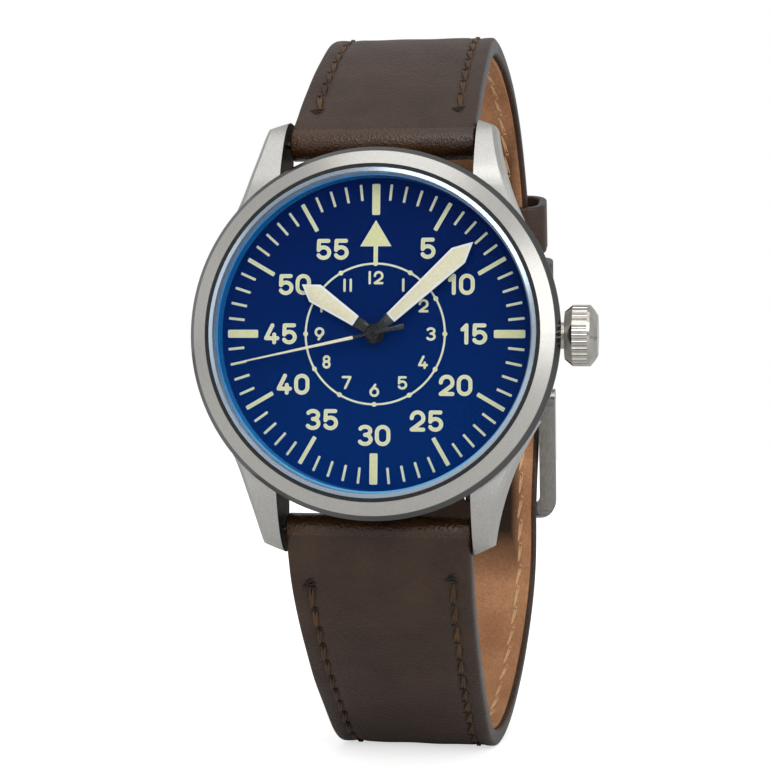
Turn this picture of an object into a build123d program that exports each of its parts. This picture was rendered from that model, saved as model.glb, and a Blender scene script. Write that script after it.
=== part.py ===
# A pilot watch on a closed leather strap: case, dial, hands, automatic movement, crown, strap, buckle
# Local axes while modelling: x to 3 o'clock, y to 12 o'clock, z from the case back to the crystal
import math
import os

from build123d import *

# Case
case_radius = 21.0
case_foot_inset = 0.75
case_foot_radius = case_radius - case_foot_inset
case_foot_level = 1.5
case_top_level = 8.35
case_wall = 2.9
case_bore_radius = case_radius - case_wall
case_edge_break = 0.35
strap_roll_radius = 1.95
roll_gap = 0.15
bar_reach = case_foot_radius + strap_roll_radius + roll_gap
bar_level = 2.35
lug_gap = 22.0
lug_beyond_bar = 2.6
lug_length = bar_reach + lug_beyond_bar
lug_tip_level = 3.1
lug_foot_level = 0.35
lug_shoulder_drop = 0.05
lug_shoulder_level = case_top_level - lug_shoulder_drop
lug_shoulder_inset = 4.4
lug_shoulder_reach = case_radius - lug_shoulder_inset
lug_tip_width = 2.2
lug_tip_half_width = lug_gap / 2 + lug_tip_width
lug_waist_width = 3.6
lug_waist_half_width = lug_gap / 2 + lug_waist_width
lug_waist_inset = 3.4
lug_waist_reach = case_radius - lug_waist_inset
lug_root_half_width_share = 0.8762
lug_root_half_width = lug_root_half_width_share * case_radius
lug_root_reach_share = 0.4571
lug_root_reach = lug_root_reach_share * case_radius
lug_bevel = 0.45
lug_crest_reach_share = 0.45
lug_crest_drop_share = 0.2
lug_tip_slope_share = 0.5
lug_tip_direction_shares = (0.45, -1)
case_edge_lean_share = 0.2
run_clearance = 0.04
seat_clearance = 0.02
soft_clearance = 0.3
overrun = 1.0

# Case back
back_plate_height = 1.45
back_plate_margin = 0.65
back_plate_radius = case_foot_radius - back_plate_margin
back_boss_height = 1.25
back_boss_wall = 1.1
back_gasket_inset = 0.85
back_gasket_radius = back_plate_radius - back_gasket_inset
back_gasket_width = 0.5
back_gasket_height = 0.25
back_notch_count = 6
back_notch_width = 2.2
back_notch_depth = 0.5
back_notch_length = 1.0

# Bezel, crystal and inner flange
bezel_gap = 0.05
bezel_side_height = 0.45
bezel_bevel_width = 0.59
bezel_bevel_radius = case_radius - bezel_bevel_width
bezel_bevel_level = 9.8
bezel_face_width = 1.55
bezel_inner_radius = bezel_bevel_radius - bezel_face_width
bezel_inner_level = 10.89
bezel_lip_width = 0.15
bezel_lip_radius = case_bore_radius - bezel_lip_width
crystal_gasket_width = 0.46
crystal_radius = bezel_inner_radius - crystal_gasket_width
crystal_seat_level = 9.6
crystal_top_level = 11.1
crystal_bevel = 0.46
crystal_bevel_drop = 0.14
flange_foot_width = 0.33
flange_dial_radius = bezel_lip_radius - flange_foot_width
flange_top_width = 0.25
flange_top_radius = bezel_lip_radius - flange_top_width

# Dial and its print
dial_level = 7.6
dial_thickness = 0.4
dial_rim_gap = 0.15
dial_radius = case_bore_radius - dial_rim_gap
dial_hole_radius = 0.95
print_height = 0.03
print_seat = 0.005
track_margin = 0.67
track_outer_radius = flange_dial_radius - track_margin
minute_tick_length = 1.82
track_inner_radius = track_outer_radius - minute_tick_length
five_minute_length = 3.5
track_major_inner_radius = track_outer_radius - five_minute_length
minute_tick_width = 0.28
five_minute_width = 0.46
tick_corner_share = 0.17
quarter_width = 0.9
minute_digit_height = 2.37
minute_digit_stroke = 0.44
minute_digit_radius = 11.43
minute_digit_gap = 0.26
minute_one_width_share = 0.42
hour_digit_height = 1.5
hour_digit_stroke = 0.26
hour_digit_radius = 6.35
hour_digit_gap = 0.2
hour_one_width_share = 0.34
hour_ring_radius = 7.94
hour_ring_width = 0.22
hour_dot_radius = 0.27
triangle_tip_radius = 12.85
triangle_height = 2.95
triangle_width = 3.55
triangle_stem_width = 0.48

# Hands
hour_hand_length = 10.0
hour_hand_width = 2.3
hour_hand_waist = 1.25
hour_hand_shoulder = 8.2
hour_hand_level = 8.05
minute_hand_length = 15.1
minute_hand_width = 2.25
minute_hand_waist = 1.25
minute_hand_shoulder = 12.9
minute_hand_level = 8.55
hand_thickness = 0.25
hand_root_width = 1.1
hand_lume_start = 2.6
hand_root_share = 0.7
second_hand_tip_share = 0.5
second_hand_length = 15.0
second_hand_tail = 3.6
second_hand_width = 0.26
second_hand_tail_width = 0.6
second_hand_level = 9.05
second_hand_thickness = 0.18
hour_hub_radius = 1.35
minute_hub_radius = 1.15
second_hub_radius = 0.95
second_arbor_radius = 0.22
second_arbor_bore = 0.27
cannon_pipe_radius = 0.5
hour_pipe_bore = 0.55
hour_pipe_radius = 0.8
hour_hand_turn = -303.8
minute_hand_turn = -47.5
second_hand_turn = -257.7

# Crown and stem
crown_axis_level = 4.9
crown_gap = 0.2
crown_start = case_radius + crown_gap
crown_length = 3.7
crown_radius = 3.45
crown_chamfer = 0.75
crown_groove_count = 28
crown_groove_radius = 0.28
crown_tube_radius = 1.5
crown_tube_bore = 1.0
crown_skirt_bore = 1.75
crown_skirt_depth = 1.6
crown_pipe_radius = 0.8
crown_pipe_reach = 0.8
crown_tube_reach = 0.96
stem_radius = 0.42
crown_gasket_length = 0.6
crown_shoulder_share = 1.2
crown_dome_share = 0.11
crown_rim_share = 0.6
crown_rim_drop_share = 0.7
crown_cap_share = 0.66

# Movement
movement_radius = 12.8
holder_top_level = 7.15
holder_foot_level = 3.0
clamp_offset = 1.4
clamp_head_radius = 1.9
clamp_length = 1.5
clamp_directions = (45, 225)
hole_depth_gap = 0.1
plate_foot_level = 5.4
plate_top_level = 6.6
bridge_foot_level = 3.0
bridge_top_level = 3.7
foot_seat_gap = 0.005
low_wheel_level = 3.8
low_wheel_height = 0.9
slim_wheel_share = 0.5
high_wheel_level = 4.9
high_wheel_height = 0.3
arbor_radius = 0.2
arbor_seat = 0.6
arbor_lift = 0.05
pin_seat = 0.4
jewel_radius = 0.6
jewel_height = 0.25
screw_head_radius = 0.85
screw_head_height = 0.35
screw_shank_radius = 0.45
screw_slot_width = 0.2
screw_slot_share = 0.5
bridge_screw_depth = 0.6
bridge_screw_reach_share = 0.86
bridge_screw_directions = (85, 160, 12, -55)
bridge_foot_share = 1.3

# Wheels of the movement: their radii and places as shares of the movement's radius, and their teeth
wheel_radius_shares = {
    "barrel": 0.3594, "second": 0.2031, "third": 0.1875, "fourth": 0.1797, "escape": 0.1484, "balance": 0.2148,
    "minute": 0.125, "hour": 0.15, "crown": 0.1484, "ratchet": 0.2031,
}
pinion_radius_shares = {
    "second": 0.0508, "third": 0.0391, "fourth": 0.0547, "escape": 0.0391, "minute": 0.0375, "cannon": 0.0625,
    "winding": 0.082,
}
wheel_radius = {name: share * movement_radius for name, share in wheel_radius_shares.items()}
pinion_radius = {name: share * movement_radius for name, share in pinion_radius_shares.items()}
wheel_tooth_count = {
    "barrel": 60, "second": 48, "third": 45, "fourth": 45, "escape": 15, "minute": 36, "hour": 40, "crown": 26,
    "ratchet": 36,
}
pinion_tooth_count = {
    "second": 8, "third": 8, "fourth": 8, "escape": 8, "minute": 10, "cannon": 12, "winding": 14,
}
mesh_gap = 0.05
tooth_depth = 0.22
barrel_margin = 0.34
barrel_direction = 48.6
barrel_window_count = 5
barrel_window_share = 0.25
barrel_window_reach_share = 0.6
second_wheel_reach_share = 0.4262
escape_direction = -120.0
pallet_reach_share = 0.2266
pallet_direction = -150.0
balance_reach_share = 0.2344
balance_direction = -135.0
crown_wheel_direction = -52
motion_wheel_level = 6.66
motion_wheel_height = 0.18
hour_wheel_level = 6.92
winding_wheel_level = 2.6
winding_wheel_height = 0.3

# Balance, its cock and the pallet fork
balance_rim = 0.4
balance_arm_width = 0.4
collet_radius = 0.5
collet_height = 0.2
hairspring_start = 1.0
hairspring_pitch = 0.45
hairspring_turn_count = 3
hairspring_wire = 0.08
hairspring_height = 0.15
hairspring_stud_width = 0.2
hairspring_stud_length = 2.0
roller_radius = 0.45
roller_height = 0.3
cock_margin = 1.0
cock_gap = 0.1
cock_nose = 1.0
cock_width = 2.4
cock_corner = 1.1
cock_foot_inset = 0.8
cock_foot_radius = 0.75
pallet_gap = 0.1
pallet_lever_width = 0.36
pallet_horn_gap = 0.3
pallet_cross_width = 0.5
pallet_cross_length = 2.0
pallet_hub_radius = 0.45

# Rotor
rotor_foot_level = 1.65
rotor_web_height = 0.6
rotor_clearance = 0.1
rotor_rim_top_level = bridge_foot_level - screw_head_height - rotor_clearance
rotor_inset = 0.3
rotor_radius = movement_radius - rotor_inset
rotor_rim_width = 1.6
rotor_hub_radius = 2.2
rotor_bore_radius = 1.0
rotor_post_lift = 0.05
rotor_post_flange_radius = 1.5
rotor_post_flange_height = 0.08
rotor_post_well = 0.3

# Keyless works: the window for the stem's pinion, and the setting lever
keyless_rim = 0.4
keyless_window_end = movement_radius - keyless_rim
keyless_window_length = 3.9
keyless_window_start = keyless_window_end - keyless_window_length
keyless_window_width = 2.6
keyless_window_depth = 0.8
keyless_bridge_margin = 0.6
stem_end_margin = 0.4
stem_end_gap = 0.45
stem_inner_end = keyless_window_start + stem_end_margin
winding_pinion_offset = 2.2
winding_pinion_length = 1.2
lever_pivot_inset = 2.5
lever_pivot_x = movement_radius - lever_pivot_inset
lever_pivot_offset = 1.4
lever_pivot_y = -(keyless_window_width / 2 + lever_pivot_offset)
lever_width = 1.0
lever_length = 2.6
lever_corner = 0.4
lever_lift = 0.05
lever_height = 0.25

# Strap
bar_radius = 0.9
bar_pivot_radius = 0.5
bar_pivot_length = 1.1
strap_root_width = 21.5
strap_end_width = 19.5
leather_root_thickness = 2.5
leather_end_thickness = 1.7
lining_thickness = 0.7
lining_gap = 0.06
lining_inset = 0.7
upper_swell = 17.95
loop_rise = bar_reach + upper_swell
lower_swell = 29.55
loop_drop = bar_reach + lower_swell
loop_depth = 66.0
strap_lean = 4.3
lean_start = 33.0
layer_gap = 0.36
tail_length = 26.5
tail_round = 9.0
tail_blunt_share = 0.06
tail_station_shares = (0.5, 0.2)
strap_edge_share = 0.28
hole_radius = 1.0
hole_pitch = 6.4
holes_below = 4
holes_above = 2
station_pitch = 5.6

# Buckle and keepers
arm_gap = 0.6
arm_width = 2.3
arm_thickness = 2.0
frame_length = 16.6
frame_corner = 2.6
rail_lift = 2.15
rail_radius = 1.05
frame_eye_radius = 1.4
buckle_bar_radius = 0.75
buckle_bar_seat = 1.2
buckle_roll_radius = 1.6
tang_width = 1.5
tang_thickness = 1.0
tang_eye_radius = 1.3
tang_knee_reach = 3.4
tang_knee_lift = 4.75
tang_overhang = 1.1
tang_slack = 0.35
tang_slot_start = -0.75
tang_slot_end = 4.2
tang_bend_reach_share = 0.5
tang_bend_lift_share = 0.6
tang_tip_drop_share = 0.25
keeper_wall = 1.1
keeper_corner = 1.9
keeper_headroom = 0.5
free_keeper_length = 7.0
free_keeper_slack = 1.5
free_keeper_station = 24.6
fixed_keeper_length = 6.0
fixed_keeper_slack = 1.9
fixed_keeper_station = 16.6

# Centre line of each strap half: shares of its reach from the dial's centre and of the loop's depth
upper_route_shares = [
    (0.613, 0.115), (0.702, 0.180), (0.846, 0.309), (0.940, 0.427), (0.965, 0.523), (0.933, 0.624),
    (0.829, 0.724), (0.625, 0.812), (0.337, 0.882), (0.074, 0.920), (-0.136, 0.938),
]
lower_route_shares = [
    (0.505, 0.097), (0.595, 0.148), (0.672, 0.211), (0.767, 0.300), (0.884, 0.441), (0.962, 0.559),
    (0.965, 0.650), (0.886, 0.779), (0.736, 0.889), (0.549, 0.953),
]
lean_power = 1.3

# Digit strokes in a cell one high and as wide as its share, each a list of points joined by lines or arcs
digit_width_share = 0.74

# Centres of the minute numbers, to the right and up, as shares of their radius
minute_place_shares = {
    5: (0.517, 0.843), 10: (0.852, 0.487), 15: (0.98, 0.0), 20: (0.805, -0.503), 25: (0.521, -0.854),
    30: (0.0, -1.0), 35: (-0.524, -0.848), 40: (-0.816, -0.5), 45: (-0.95, 0.0), 50: (-0.813, 0.49),
    55: (-0.436, 0.838),
}


# Basic shapes

# A cylinder along z
def disc(radius, foot, top, at=(0, 0)):
    return Pos(at[0], at[1], foot) * Cylinder(radius, top - foot, align=(Align.CENTER, Align.CENTER, Align.MIN))


# A washer along z
def ring(outer, inner, foot, top, at=(0, 0)):
    return disc(outer, foot, top, at) - disc(inner, foot - overrun, top + overrun, at)


# The solid turned about z from (radius, level) points
def turned(profile):
    return revolve(Plane.XZ * make_face(Polyline(*profile, close=True)), Axis.Z)


# A cylinder along x
def bar_x(radius, start, end, y, z):
    rod = Cylinder(radius, end - start, align=(Align.CENTER, Align.CENTER, Align.MIN))
    return Pos(start, y, z) * Rot(0, 90, 0) * rod


# A box between two corners
def block(x0, x1, y0, y1, z0, z1):
    size = (x1 - x0, y1 - y0, z1 - z0)
    return Pos(x0, y0, z0) * Box(*size, align=(Align.MIN, Align.MIN, Align.MIN))


def polar(radius, degrees):
    return (radius * math.cos(math.radians(degrees)), radius * math.sin(math.radians(degrees)))


# Writes the piece in the part's frame: dial towards -Y, 12 o'clock up
def save(node, shape):
    export_step(Rot(90, 0, 0) * shape, f"parts/{node}.step")


# The strokes of one digit on its centre lines, from the lower left corner
def digit_paths(digit, width, height, flagged):
    half = width / 2
    bowl = Pos(half, half) * CenterArc((0, 0), half, 0, 360)
    if digit == 0:
        low = CenterArc((half, half), half, 180, 180)
        high = CenterArc((half, height - half), half, 0, 180)
        return [low, high, Line((0, half), (0, height - half)), Line((width, half), (width, height - half))]
    if digit == 1:
        stem = 0.8 * width if flagged else half
        upright = Line((stem, 0), (stem, height))
        return [upright, Line((stem, height), (0, 0.76 * height))] if flagged else [upright]
    if digit == 2:
        top = CenterArc((half, height - half), half, -35, 215)
        return [top, Line(top @ 0, (0, 0)), Line((0, 0), (width, 0))]
    if digit == 3:
        high = EllipticalCenterArc((half, 0.765 * height), 0.46 * width, 0.235 * height, -90, arc_size=240)
        low = EllipticalCenterArc((half, 0.265 * height), half, 0.265 * height, -150, arc_size=240)
        return [high, low]
    if digit == 4:
        crossbar = 0.24 * height
        stem = 0.72 * width
        slope = Line((0.55 * width, height), (0, crossbar))
        return [slope, Line((0, crossbar), (width, crossbar)), Line((stem, 0.46 * height), (stem, 0))]
    if digit == 5:
        bowl = EllipticalCenterArc((half, 0.31 * height), half, 0.31 * height, -150, arc_size=300)
        corner = (0.1 * width, height)
        return [Line((0.92 * width, height), corner), Line(corner, bowl @ 1), bowl]
    if digit == 6:
        return [bowl, Line((0.03 * width, 0.4 * height), (0.62 * width, height))]
    if digit == 7:
        return [Line((0, height), (width, height)), Line((width, height), (0.32 * width, 0))]
    if digit == 8:
        high = CenterArc((half, 0.76 * height), 0.24 * height, 0, 360)
        low = CenterArc((half, 0.27 * height), 0.27 * height, 0, 360)
        return [high, low]
    return [Pos(0, height - width) * bowl, Line((0.97 * width, 0.6 * height), (0.38 * width, 0))]


# One digit as a flat face centred on the origin, with round stroke ends
def digit_face(digit, whole_width, height, stroke, flagged):
    width = whole_width - stroke
    tall = height - stroke
    faces = []
    for path in digit_paths(digit, width, tall, flagged):
        faces.append(trace(path, stroke))
        for end in (path @ 0, path @ 1):
            faces.append(Pos(end.X, end.Y) * Circle(stroke / 2))
    face = Sketch() + faces
    return Pos(-width / 2, -tall / 2) * face


# A whole number as a thin print, its digits side by side, the ones narrower than the others
def number_print(number, centre, height, stroke, gap, one_width_share, flagged):
    digits = [int(letter) for letter in str(number)]
    widths = [height * (one_width_share if digit == 1 else digit_width_share) for digit in digits]
    left = centre[0] - (sum(widths) + gap * (len(digits) - 1)) / 2
    solids = []
    for digit, width in zip(digits, widths):
        spot = Pos(left + width / 2, centre[1], dial_level + print_seat)
        face = spot * digit_face(digit, width, height, stroke, flagged)
        solids += extrude(face, print_height, dir=(0, 0, 1)).solids()
        left += width + gap
    return solids


# The point at a minute's angle, clockwise from 12
def clock_place(radius, minute):
    turn = math.radians(minute * 6)
    return (radius * math.sin(turn), radius * math.cos(turn))


def ticks():
    solids = []
    for minute in range(60):
        major = minute % 5 == 0
        width = quarter_width if minute % 15 == 0 else five_minute_width if major else minute_tick_width
        start = track_major_inner_radius if major else track_inner_radius
        length = track_outer_radius - start
        mark = RectangleRounded(length, width, tick_corner_share * width)
        middle = clock_place(start + length / 2, minute)
        face = Pos(middle[0], middle[1], dial_level + print_seat) * Rot(0, 0, 90 - minute * 6) * mark
        solids += extrude(face, print_height, dir=(0, 0, 1)).solids()
    return solids


# The inner ring with its twelve dots, the triangle and its stem as one print
def hour_ring():
    sketch = Circle(hour_ring_radius + hour_ring_width / 2) - Circle(hour_ring_radius - hour_ring_width / 2)
    for hour in range(12):
        spot = clock_place(hour_ring_radius, hour * 5)
        sketch += Pos(*spot) * Circle(hour_dot_radius)
    base = triangle_tip_radius - triangle_height
    stem_length = base - hour_ring_radius
    sketch += Pos(0, hour_ring_radius + stem_length / 2) * Rectangle(triangle_stem_width, stem_length)
    half = triangle_width / 2
    sketch += make_face(Polyline((0, triangle_tip_radius), (half, base), (-half, base), close=True))
    return extrude(Pos(0, 0, dial_level + print_seat) * sketch, print_height)


# A named wheel of the movement, with a ring of round windows if it has any
def wheel_gear(name, foot, height, at, windows=0):
    face = toothed_face(wheel_radius[name], wheel_tooth_count[name])
    wheel = extrude(Pos(at[0], at[1], foot) * face, height)
    root = wheel_radius[name] - tooth_depth
    for turn in range(windows):
        spot = polar(barrel_window_reach_share * root, turn * 360 / windows)
        centre = (at[0] + spot[0], at[1] + spot[1])
        wheel -= disc(barrel_window_share * root, foot - overrun, foot + height + overrun, centre)
    return wheel


def pinion_gear(name, foot, height, at):
    plan = toothed_face(pinion_radius[name], pinion_tooth_count[name])
    return extrude(Pos(at[0], at[1], foot) * plan, height)


# The plan of a wheel with straight sided teeth
def toothed_face(radius, count):
    root = radius - tooth_depth
    points = []
    for tooth in range(count):
        for share, reach in ((0.0, root), (0.25, radius), (0.5, radius), (0.75, root)):
            points.append(polar(reach, (tooth + share) * 360 / count))
    return make_face(Polyline(*points, close=True))


# Case

# One lug, at +x and +y: its side outline and its plan outline cut from each other
def lug():
    root = lug_root_reach
    tip = lug_length
    fall = lug_shoulder_level - lug_tip_level
    crest_reach = lug_shoulder_reach + lug_crest_reach_share * (tip - lug_shoulder_reach)
    crest = (crest_reach, lug_shoulder_level - lug_crest_drop_share * fall)
    top = Spline((lug_shoulder_reach, lug_shoulder_level), crest, (tip, lug_tip_level),
                 tangents=[(1, 0), lug_tip_direction_shares])
    under = Polyline((tip, lug_tip_level), (tip, lug_foot_level), (root, case_foot_level), (0, case_foot_level),
                     (0, lug_shoulder_level), (lug_shoulder_reach, lug_shoulder_level))
    blade = extrude(Plane.YZ * make_face([top, under]), case_radius)
    tip_corner = (lug_tip_half_width, tip - lug_tip_slope_share * lug_tip_width)
    outer = Spline(tip_corner, (lug_waist_half_width, lug_waist_reach), (lug_root_half_width, root))
    inner = Polyline((lug_root_half_width, root), (lug_gap / 2, root), (lug_gap / 2, tip), tip_corner)
    prism = extrude(Pos(0, 0, -overrun) * make_face([outer, inner]), case_top_level + 2 * overrun)
    return blade & prism


def case_middle():
    break_level = case_top_level - case_edge_break
    band = turned([
        (case_bore_radius, case_foot_level), (case_foot_radius - case_edge_break, case_foot_level),
        (case_foot_radius, case_foot_level + case_edge_break),
        (case_radius - case_edge_lean_share * case_edge_break, break_level),
        (case_radius - case_edge_break, case_top_level), (case_bore_radius, case_top_level),
    ])
    corner = lug()
    corner = chamfer(lug_rim(corner), lug_bevel)
    body = band
    for flip_x in (0, 1):
        for flip_y in (0, 1):
            piece = corner
            piece = mirror(piece, Plane.YZ) if flip_x else piece
            piece = mirror(piece, Plane.XZ) if flip_y else piece
            body += piece
    body -= disc(case_bore_radius, -overrun, case_top_level + overrun)
    body -= disc(back_plate_radius + run_clearance, -overrun, case_foot_level)
    groove = back_gasket_width / 2 + run_clearance
    groove_top = case_foot_level + back_gasket_height + run_clearance
    groove_foot = case_foot_level - overrun
    body -= ring(back_gasket_radius + groove, back_gasket_radius - groove, groove_foot, groove_top)
    tube_seat = crown_tube_radius + seat_clearance
    body -= bar_x(tube_seat, case_bore_radius - overrun, crown_start + overrun, 0, crown_axis_level)
    for y in (bar_reach, -bar_reach):
        hole_end = lug_gap / 2 + bar_pivot_length + run_clearance
        body -= bar_x(bar_pivot_radius + run_clearance, -hole_end, hole_end, y, bar_level)
    return body


# The outer upper edge of a lug, which carries the narrow bevel
def lug_rim(corner):
    edges = []
    for edge in corner.edges():
        middle = edge.center()
        if middle.X > lug_gap / 2 + lug_bevel and middle.Z > bar_level and middle.Y > lug_root_reach + overrun:
            if edge.length > 2 * lug_bevel and not edge.geom_type == GeomType.LINE:
                edges.append(edge)
    return edges


def case_back():
    boss_top = back_plate_height + back_boss_height
    boss = case_bore_radius - run_clearance
    back = disc(back_plate_radius, 0, back_plate_height)
    back = chamfer(back.edges().sort_by(Axis.Z)[0], case_edge_break)
    back += ring(boss, boss - back_boss_wall, back_plate_height, boss_top)
    for turn in range(back_notch_count):
        half = back_notch_width / 2
        start = back_plate_radius - back_notch_length
        notch = block(start, back_plate_radius + overrun, -half, half, -overrun, back_notch_depth)
        back -= Rot(0, 0, turn * 360 / back_notch_count) * notch
    return back


def bezel():
    foot = case_top_level + bezel_gap
    side_top = foot + bezel_side_height
    slope = (bezel_inner_level - bezel_bevel_level) / (bezel_bevel_radius - bezel_inner_radius)
    seat = crystal_seat_level - seat_clearance
    return turned([
        (case_bore_radius, foot), (case_radius, foot), (case_radius, side_top),
        (bezel_bevel_radius, bezel_bevel_level),
        (bezel_inner_radius, bezel_bevel_level + slope * (bezel_bevel_radius - bezel_inner_radius)),
        (bezel_inner_radius, seat), (bezel_lip_radius, seat), (bezel_lip_radius, foot + bezel_side_height),
        (case_bore_radius, foot + bezel_side_height),
    ])


def crystal():
    flat = crystal_radius - crystal_bevel
    return turned([
        (0, crystal_seat_level), (crystal_radius, crystal_seat_level),
        (crystal_radius, crystal_top_level - crystal_bevel_drop), (flat, crystal_top_level),
        (0, crystal_top_level),
    ])


# The conical ring between dial and crystal
def inner_flange():
    foot = dial_level + seat_clearance
    top = crystal_seat_level - 2 * bezel_gap
    outer_low = case_bore_radius - seat_clearance
    outer_high = bezel_lip_radius - seat_clearance
    shoulder = case_top_level + bezel_side_height - bezel_gap
    return turned([
        (flange_dial_radius, foot), (outer_low, foot), (outer_low, shoulder), (outer_high, shoulder),
        (outer_high, top), (flange_top_radius, top),
    ])


# Hands

# Half outline of a lance hand, from its root to its tip
def hand_outline(length, width, waist, shoulder):
    root = hand_root_width / 2
    return [(0, root), (hand_root_share * hand_lume_start, root), (hand_lume_start, waist / 2),
            (shoulder, width / 2), (length, 0)]


def lance_hand(length, width, waist, shoulder, hub, bore, level, turn):
    half = hand_outline(length, width, waist, shoulder)
    mirrored = [(x, -y) for x, y in reversed(half[:-1])]
    blade = Pos(0, 0, level) * Rot(0, 0, 90) * make_face(Polyline(*half, *mirrored, close=True))
    hand = extrude(blade, hand_thickness) + disc(hub, level, level + hand_thickness)
    return Rot(0, 0, turn) * (hand - disc(bore, level - overrun, level + overrun))


def second_hand():
    root = second_hand_width / 2
    tip = second_hand_tip_share * root
    tail = second_hand_tail_width / 2
    points = [(0, root), (second_hand_length, tip), (second_hand_length, -tip), (0, -root),
              (-second_hand_tail, -tail), (-second_hand_tail, tail)]
    level = second_hand_level
    blade = Pos(0, 0, level) * Rot(0, 0, 90) * make_face(Polyline(*points, close=True))
    hand = extrude(blade, second_hand_thickness) + disc(second_hub_radius, level, level + second_hand_thickness)
    return Rot(0, 0, second_hand_turn) * hand


def build_hands():
    hour_size = (hour_hand_length, hour_hand_width, hour_hand_waist, hour_hand_shoulder, hour_hub_radius)
    save("hour_hand", lance_hand(*hour_size, hour_pipe_radius, hour_hand_level, hour_hand_turn))
    minute_size = (minute_hand_length, minute_hand_width, minute_hand_waist, minute_hand_shoulder,
                   minute_hub_radius)
    save("minute_hand", lance_hand(*minute_size, cannon_pipe_radius, minute_hand_level, minute_hand_turn))
    save("second_hand", second_hand())


def build_dial():
    plate = disc(dial_radius, dial_level - dial_thickness, dial_level)
    save("dial", plate - disc(dial_hole_radius, 0, dial_level + overrun))
    save("minute_track", Compound(children=ticks()))
    save("hour_ring", hour_ring())
    minute_digits = []
    minute_style = (minute_digit_height, minute_digit_stroke, minute_digit_gap, minute_one_width_share, True)
    for minute, (right, up) in minute_place_shares.items():
        centre = (right * minute_digit_radius, up * minute_digit_radius)
        minute_digits += number_print(minute, centre, *minute_style)
    save("minute_numerals", Compound(children=minute_digits))
    hour_digits = []
    hour_style = (hour_digit_height, hour_digit_stroke, hour_digit_gap, hour_one_width_share, False)
    for hour in range(1, 13):
        hour_digits += number_print(hour, clock_place(hour_digit_radius, hour * 5), *hour_style)
    save("hour_numerals", Compound(children=hour_digits))


def build_case():
    save("case_middle", case_middle())
    save("case_back", case_back())
    half = back_gasket_width / 2
    gasket_top = case_foot_level + back_gasket_height
    seal = ring(back_gasket_radius + half, back_gasket_radius - half, case_foot_level, gasket_top)
    save("case_back_gasket", seal)
    save("bezel", bezel())
    save("crystal", crystal())
    collar_top = bezel_inner_level - crystal_bevel_drop / 2
    collar_outer = bezel_inner_radius - seat_clearance
    save("crystal_gasket", ring(collar_outer, crystal_radius + seat_clearance, crystal_seat_level, collar_top))
    save("inner_flange", inner_flange())


# Crown and its stem

# The fluted crown, hollow at its foot, with its stem
def crown():
    end = crown_start + crown_length
    dome_start = end - crown_dome_share * crown_length
    flute_start = crown_start + crown_shoulder_share * crown_chamfer
    flute_end = dome_start - crown_rim_share * crown_chamfer
    body = revolve(make_face(Polyline(
        (crown_start, 0), (crown_start, crown_radius - crown_chamfer), (flute_start, crown_radius),
        (flute_end, crown_radius), (dome_start, crown_radius - crown_rim_drop_share * crown_chamfer),
        (end, crown_cap_share * crown_radius), (end, 0), close=True)), Axis.X)
    for turn in range(crown_groove_count):
        groove = bar_x(crown_groove_radius, flute_start, flute_end - crown_groove_radius, crown_radius, 0)
        body -= Rot(turn * 360 / crown_groove_count, 0, 0) * groove
    body = Pos(0, 0, crown_axis_level) * body
    skirt_end = crown_start + crown_skirt_depth
    body -= bar_x(crown_skirt_bore, crown_start - overrun, skirt_end, 0, crown_axis_level)
    body += bar_x(crown_pipe_radius, crown_start - crown_pipe_reach, skirt_end, 0, crown_axis_level)
    return body + bar_x(stem_radius, stem_inner_end, skirt_end, 0, crown_axis_level)


def crown_tube():
    start = case_bore_radius + run_clearance
    end = crown_start + crown_tube_reach
    wall = bar_x(crown_tube_radius, start, end, 0, crown_axis_level)
    return wall - bar_x(crown_tube_bore, start - overrun, end + overrun, 0, crown_axis_level)


# The sealing sleeve that slides in the tube with the crown
def crown_gasket():
    end = crown_start - crown_pipe_reach - seat_clearance
    start = end - crown_gasket_length
    sleeve = bar_x(crown_tube_bore - run_clearance, start, end, 0, crown_axis_level)
    return sleeve - bar_x(stem_radius + run_clearance, start - overrun, end + overrun, 0, crown_axis_level)


# Movement

train_centre = (0, 0)
barrel_reach = movement_radius - barrel_margin - wheel_radius["barrel"]
barrel_centre = polar(barrel_reach, barrel_direction)


# The point at given distances from two centres, on one side of the line between them
def meeting_point(first, first_reach, second, second_reach, side):
    dx = second[0] - first[0]
    dy = second[1] - first[1]
    apart = math.hypot(dx, dy)
    along = (first_reach ** 2 - second_reach ** 2 + apart ** 2) / (2 * apart)
    across = math.sqrt(first_reach ** 2 - along ** 2) * side
    return (first[0] + (along * dx - across * dy) / apart, first[1] + (along * dy + across * dx) / apart)


def shifted(centre, reach, degrees):
    step = polar(reach, degrees)
    return (centre[0] + step[0], centre[1] + step[1])


third_reach = wheel_radius["third"] + pinion_radius["fourth"] + mesh_gap
second_to_third = wheel_radius["second"] + pinion_radius["third"] + mesh_gap
barrel_to_second = wheel_radius["barrel"] + pinion_radius["second"] + mesh_gap
second_reach = second_wheel_reach_share * movement_radius
second_centre = meeting_point(train_centre, second_reach, barrel_centre, barrel_to_second, -1)
third_centre = meeting_point(train_centre, third_reach, second_centre, second_to_third, -1)
escape_reach = wheel_radius["fourth"] + pinion_radius["escape"] + mesh_gap
escape_centre = polar(escape_reach, escape_direction)
pallet_centre = shifted(escape_centre, pallet_reach_share * movement_radius, pallet_direction)
balance_reach = balance_reach_share * movement_radius
balance_centre = shifted(pallet_centre, balance_reach, balance_direction)
minute_centre = (-(pinion_radius["cannon"] + wheel_radius["minute"] + mesh_gap), 0)
barrel_to_crown_wheel = wheel_radius["ratchet"] + wheel_radius["crown"] + mesh_gap
crown_wheel_centre = shifted(barrel_centre, barrel_to_crown_wheel, crown_wheel_direction)
arbor_top = plate_foot_level + arbor_seat
arbor_foot = bridge_foot_level + arbor_lift
high_wheel_top = high_wheel_level + high_wheel_height
low_wheel_top = low_wheel_level + low_wheel_height
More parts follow.
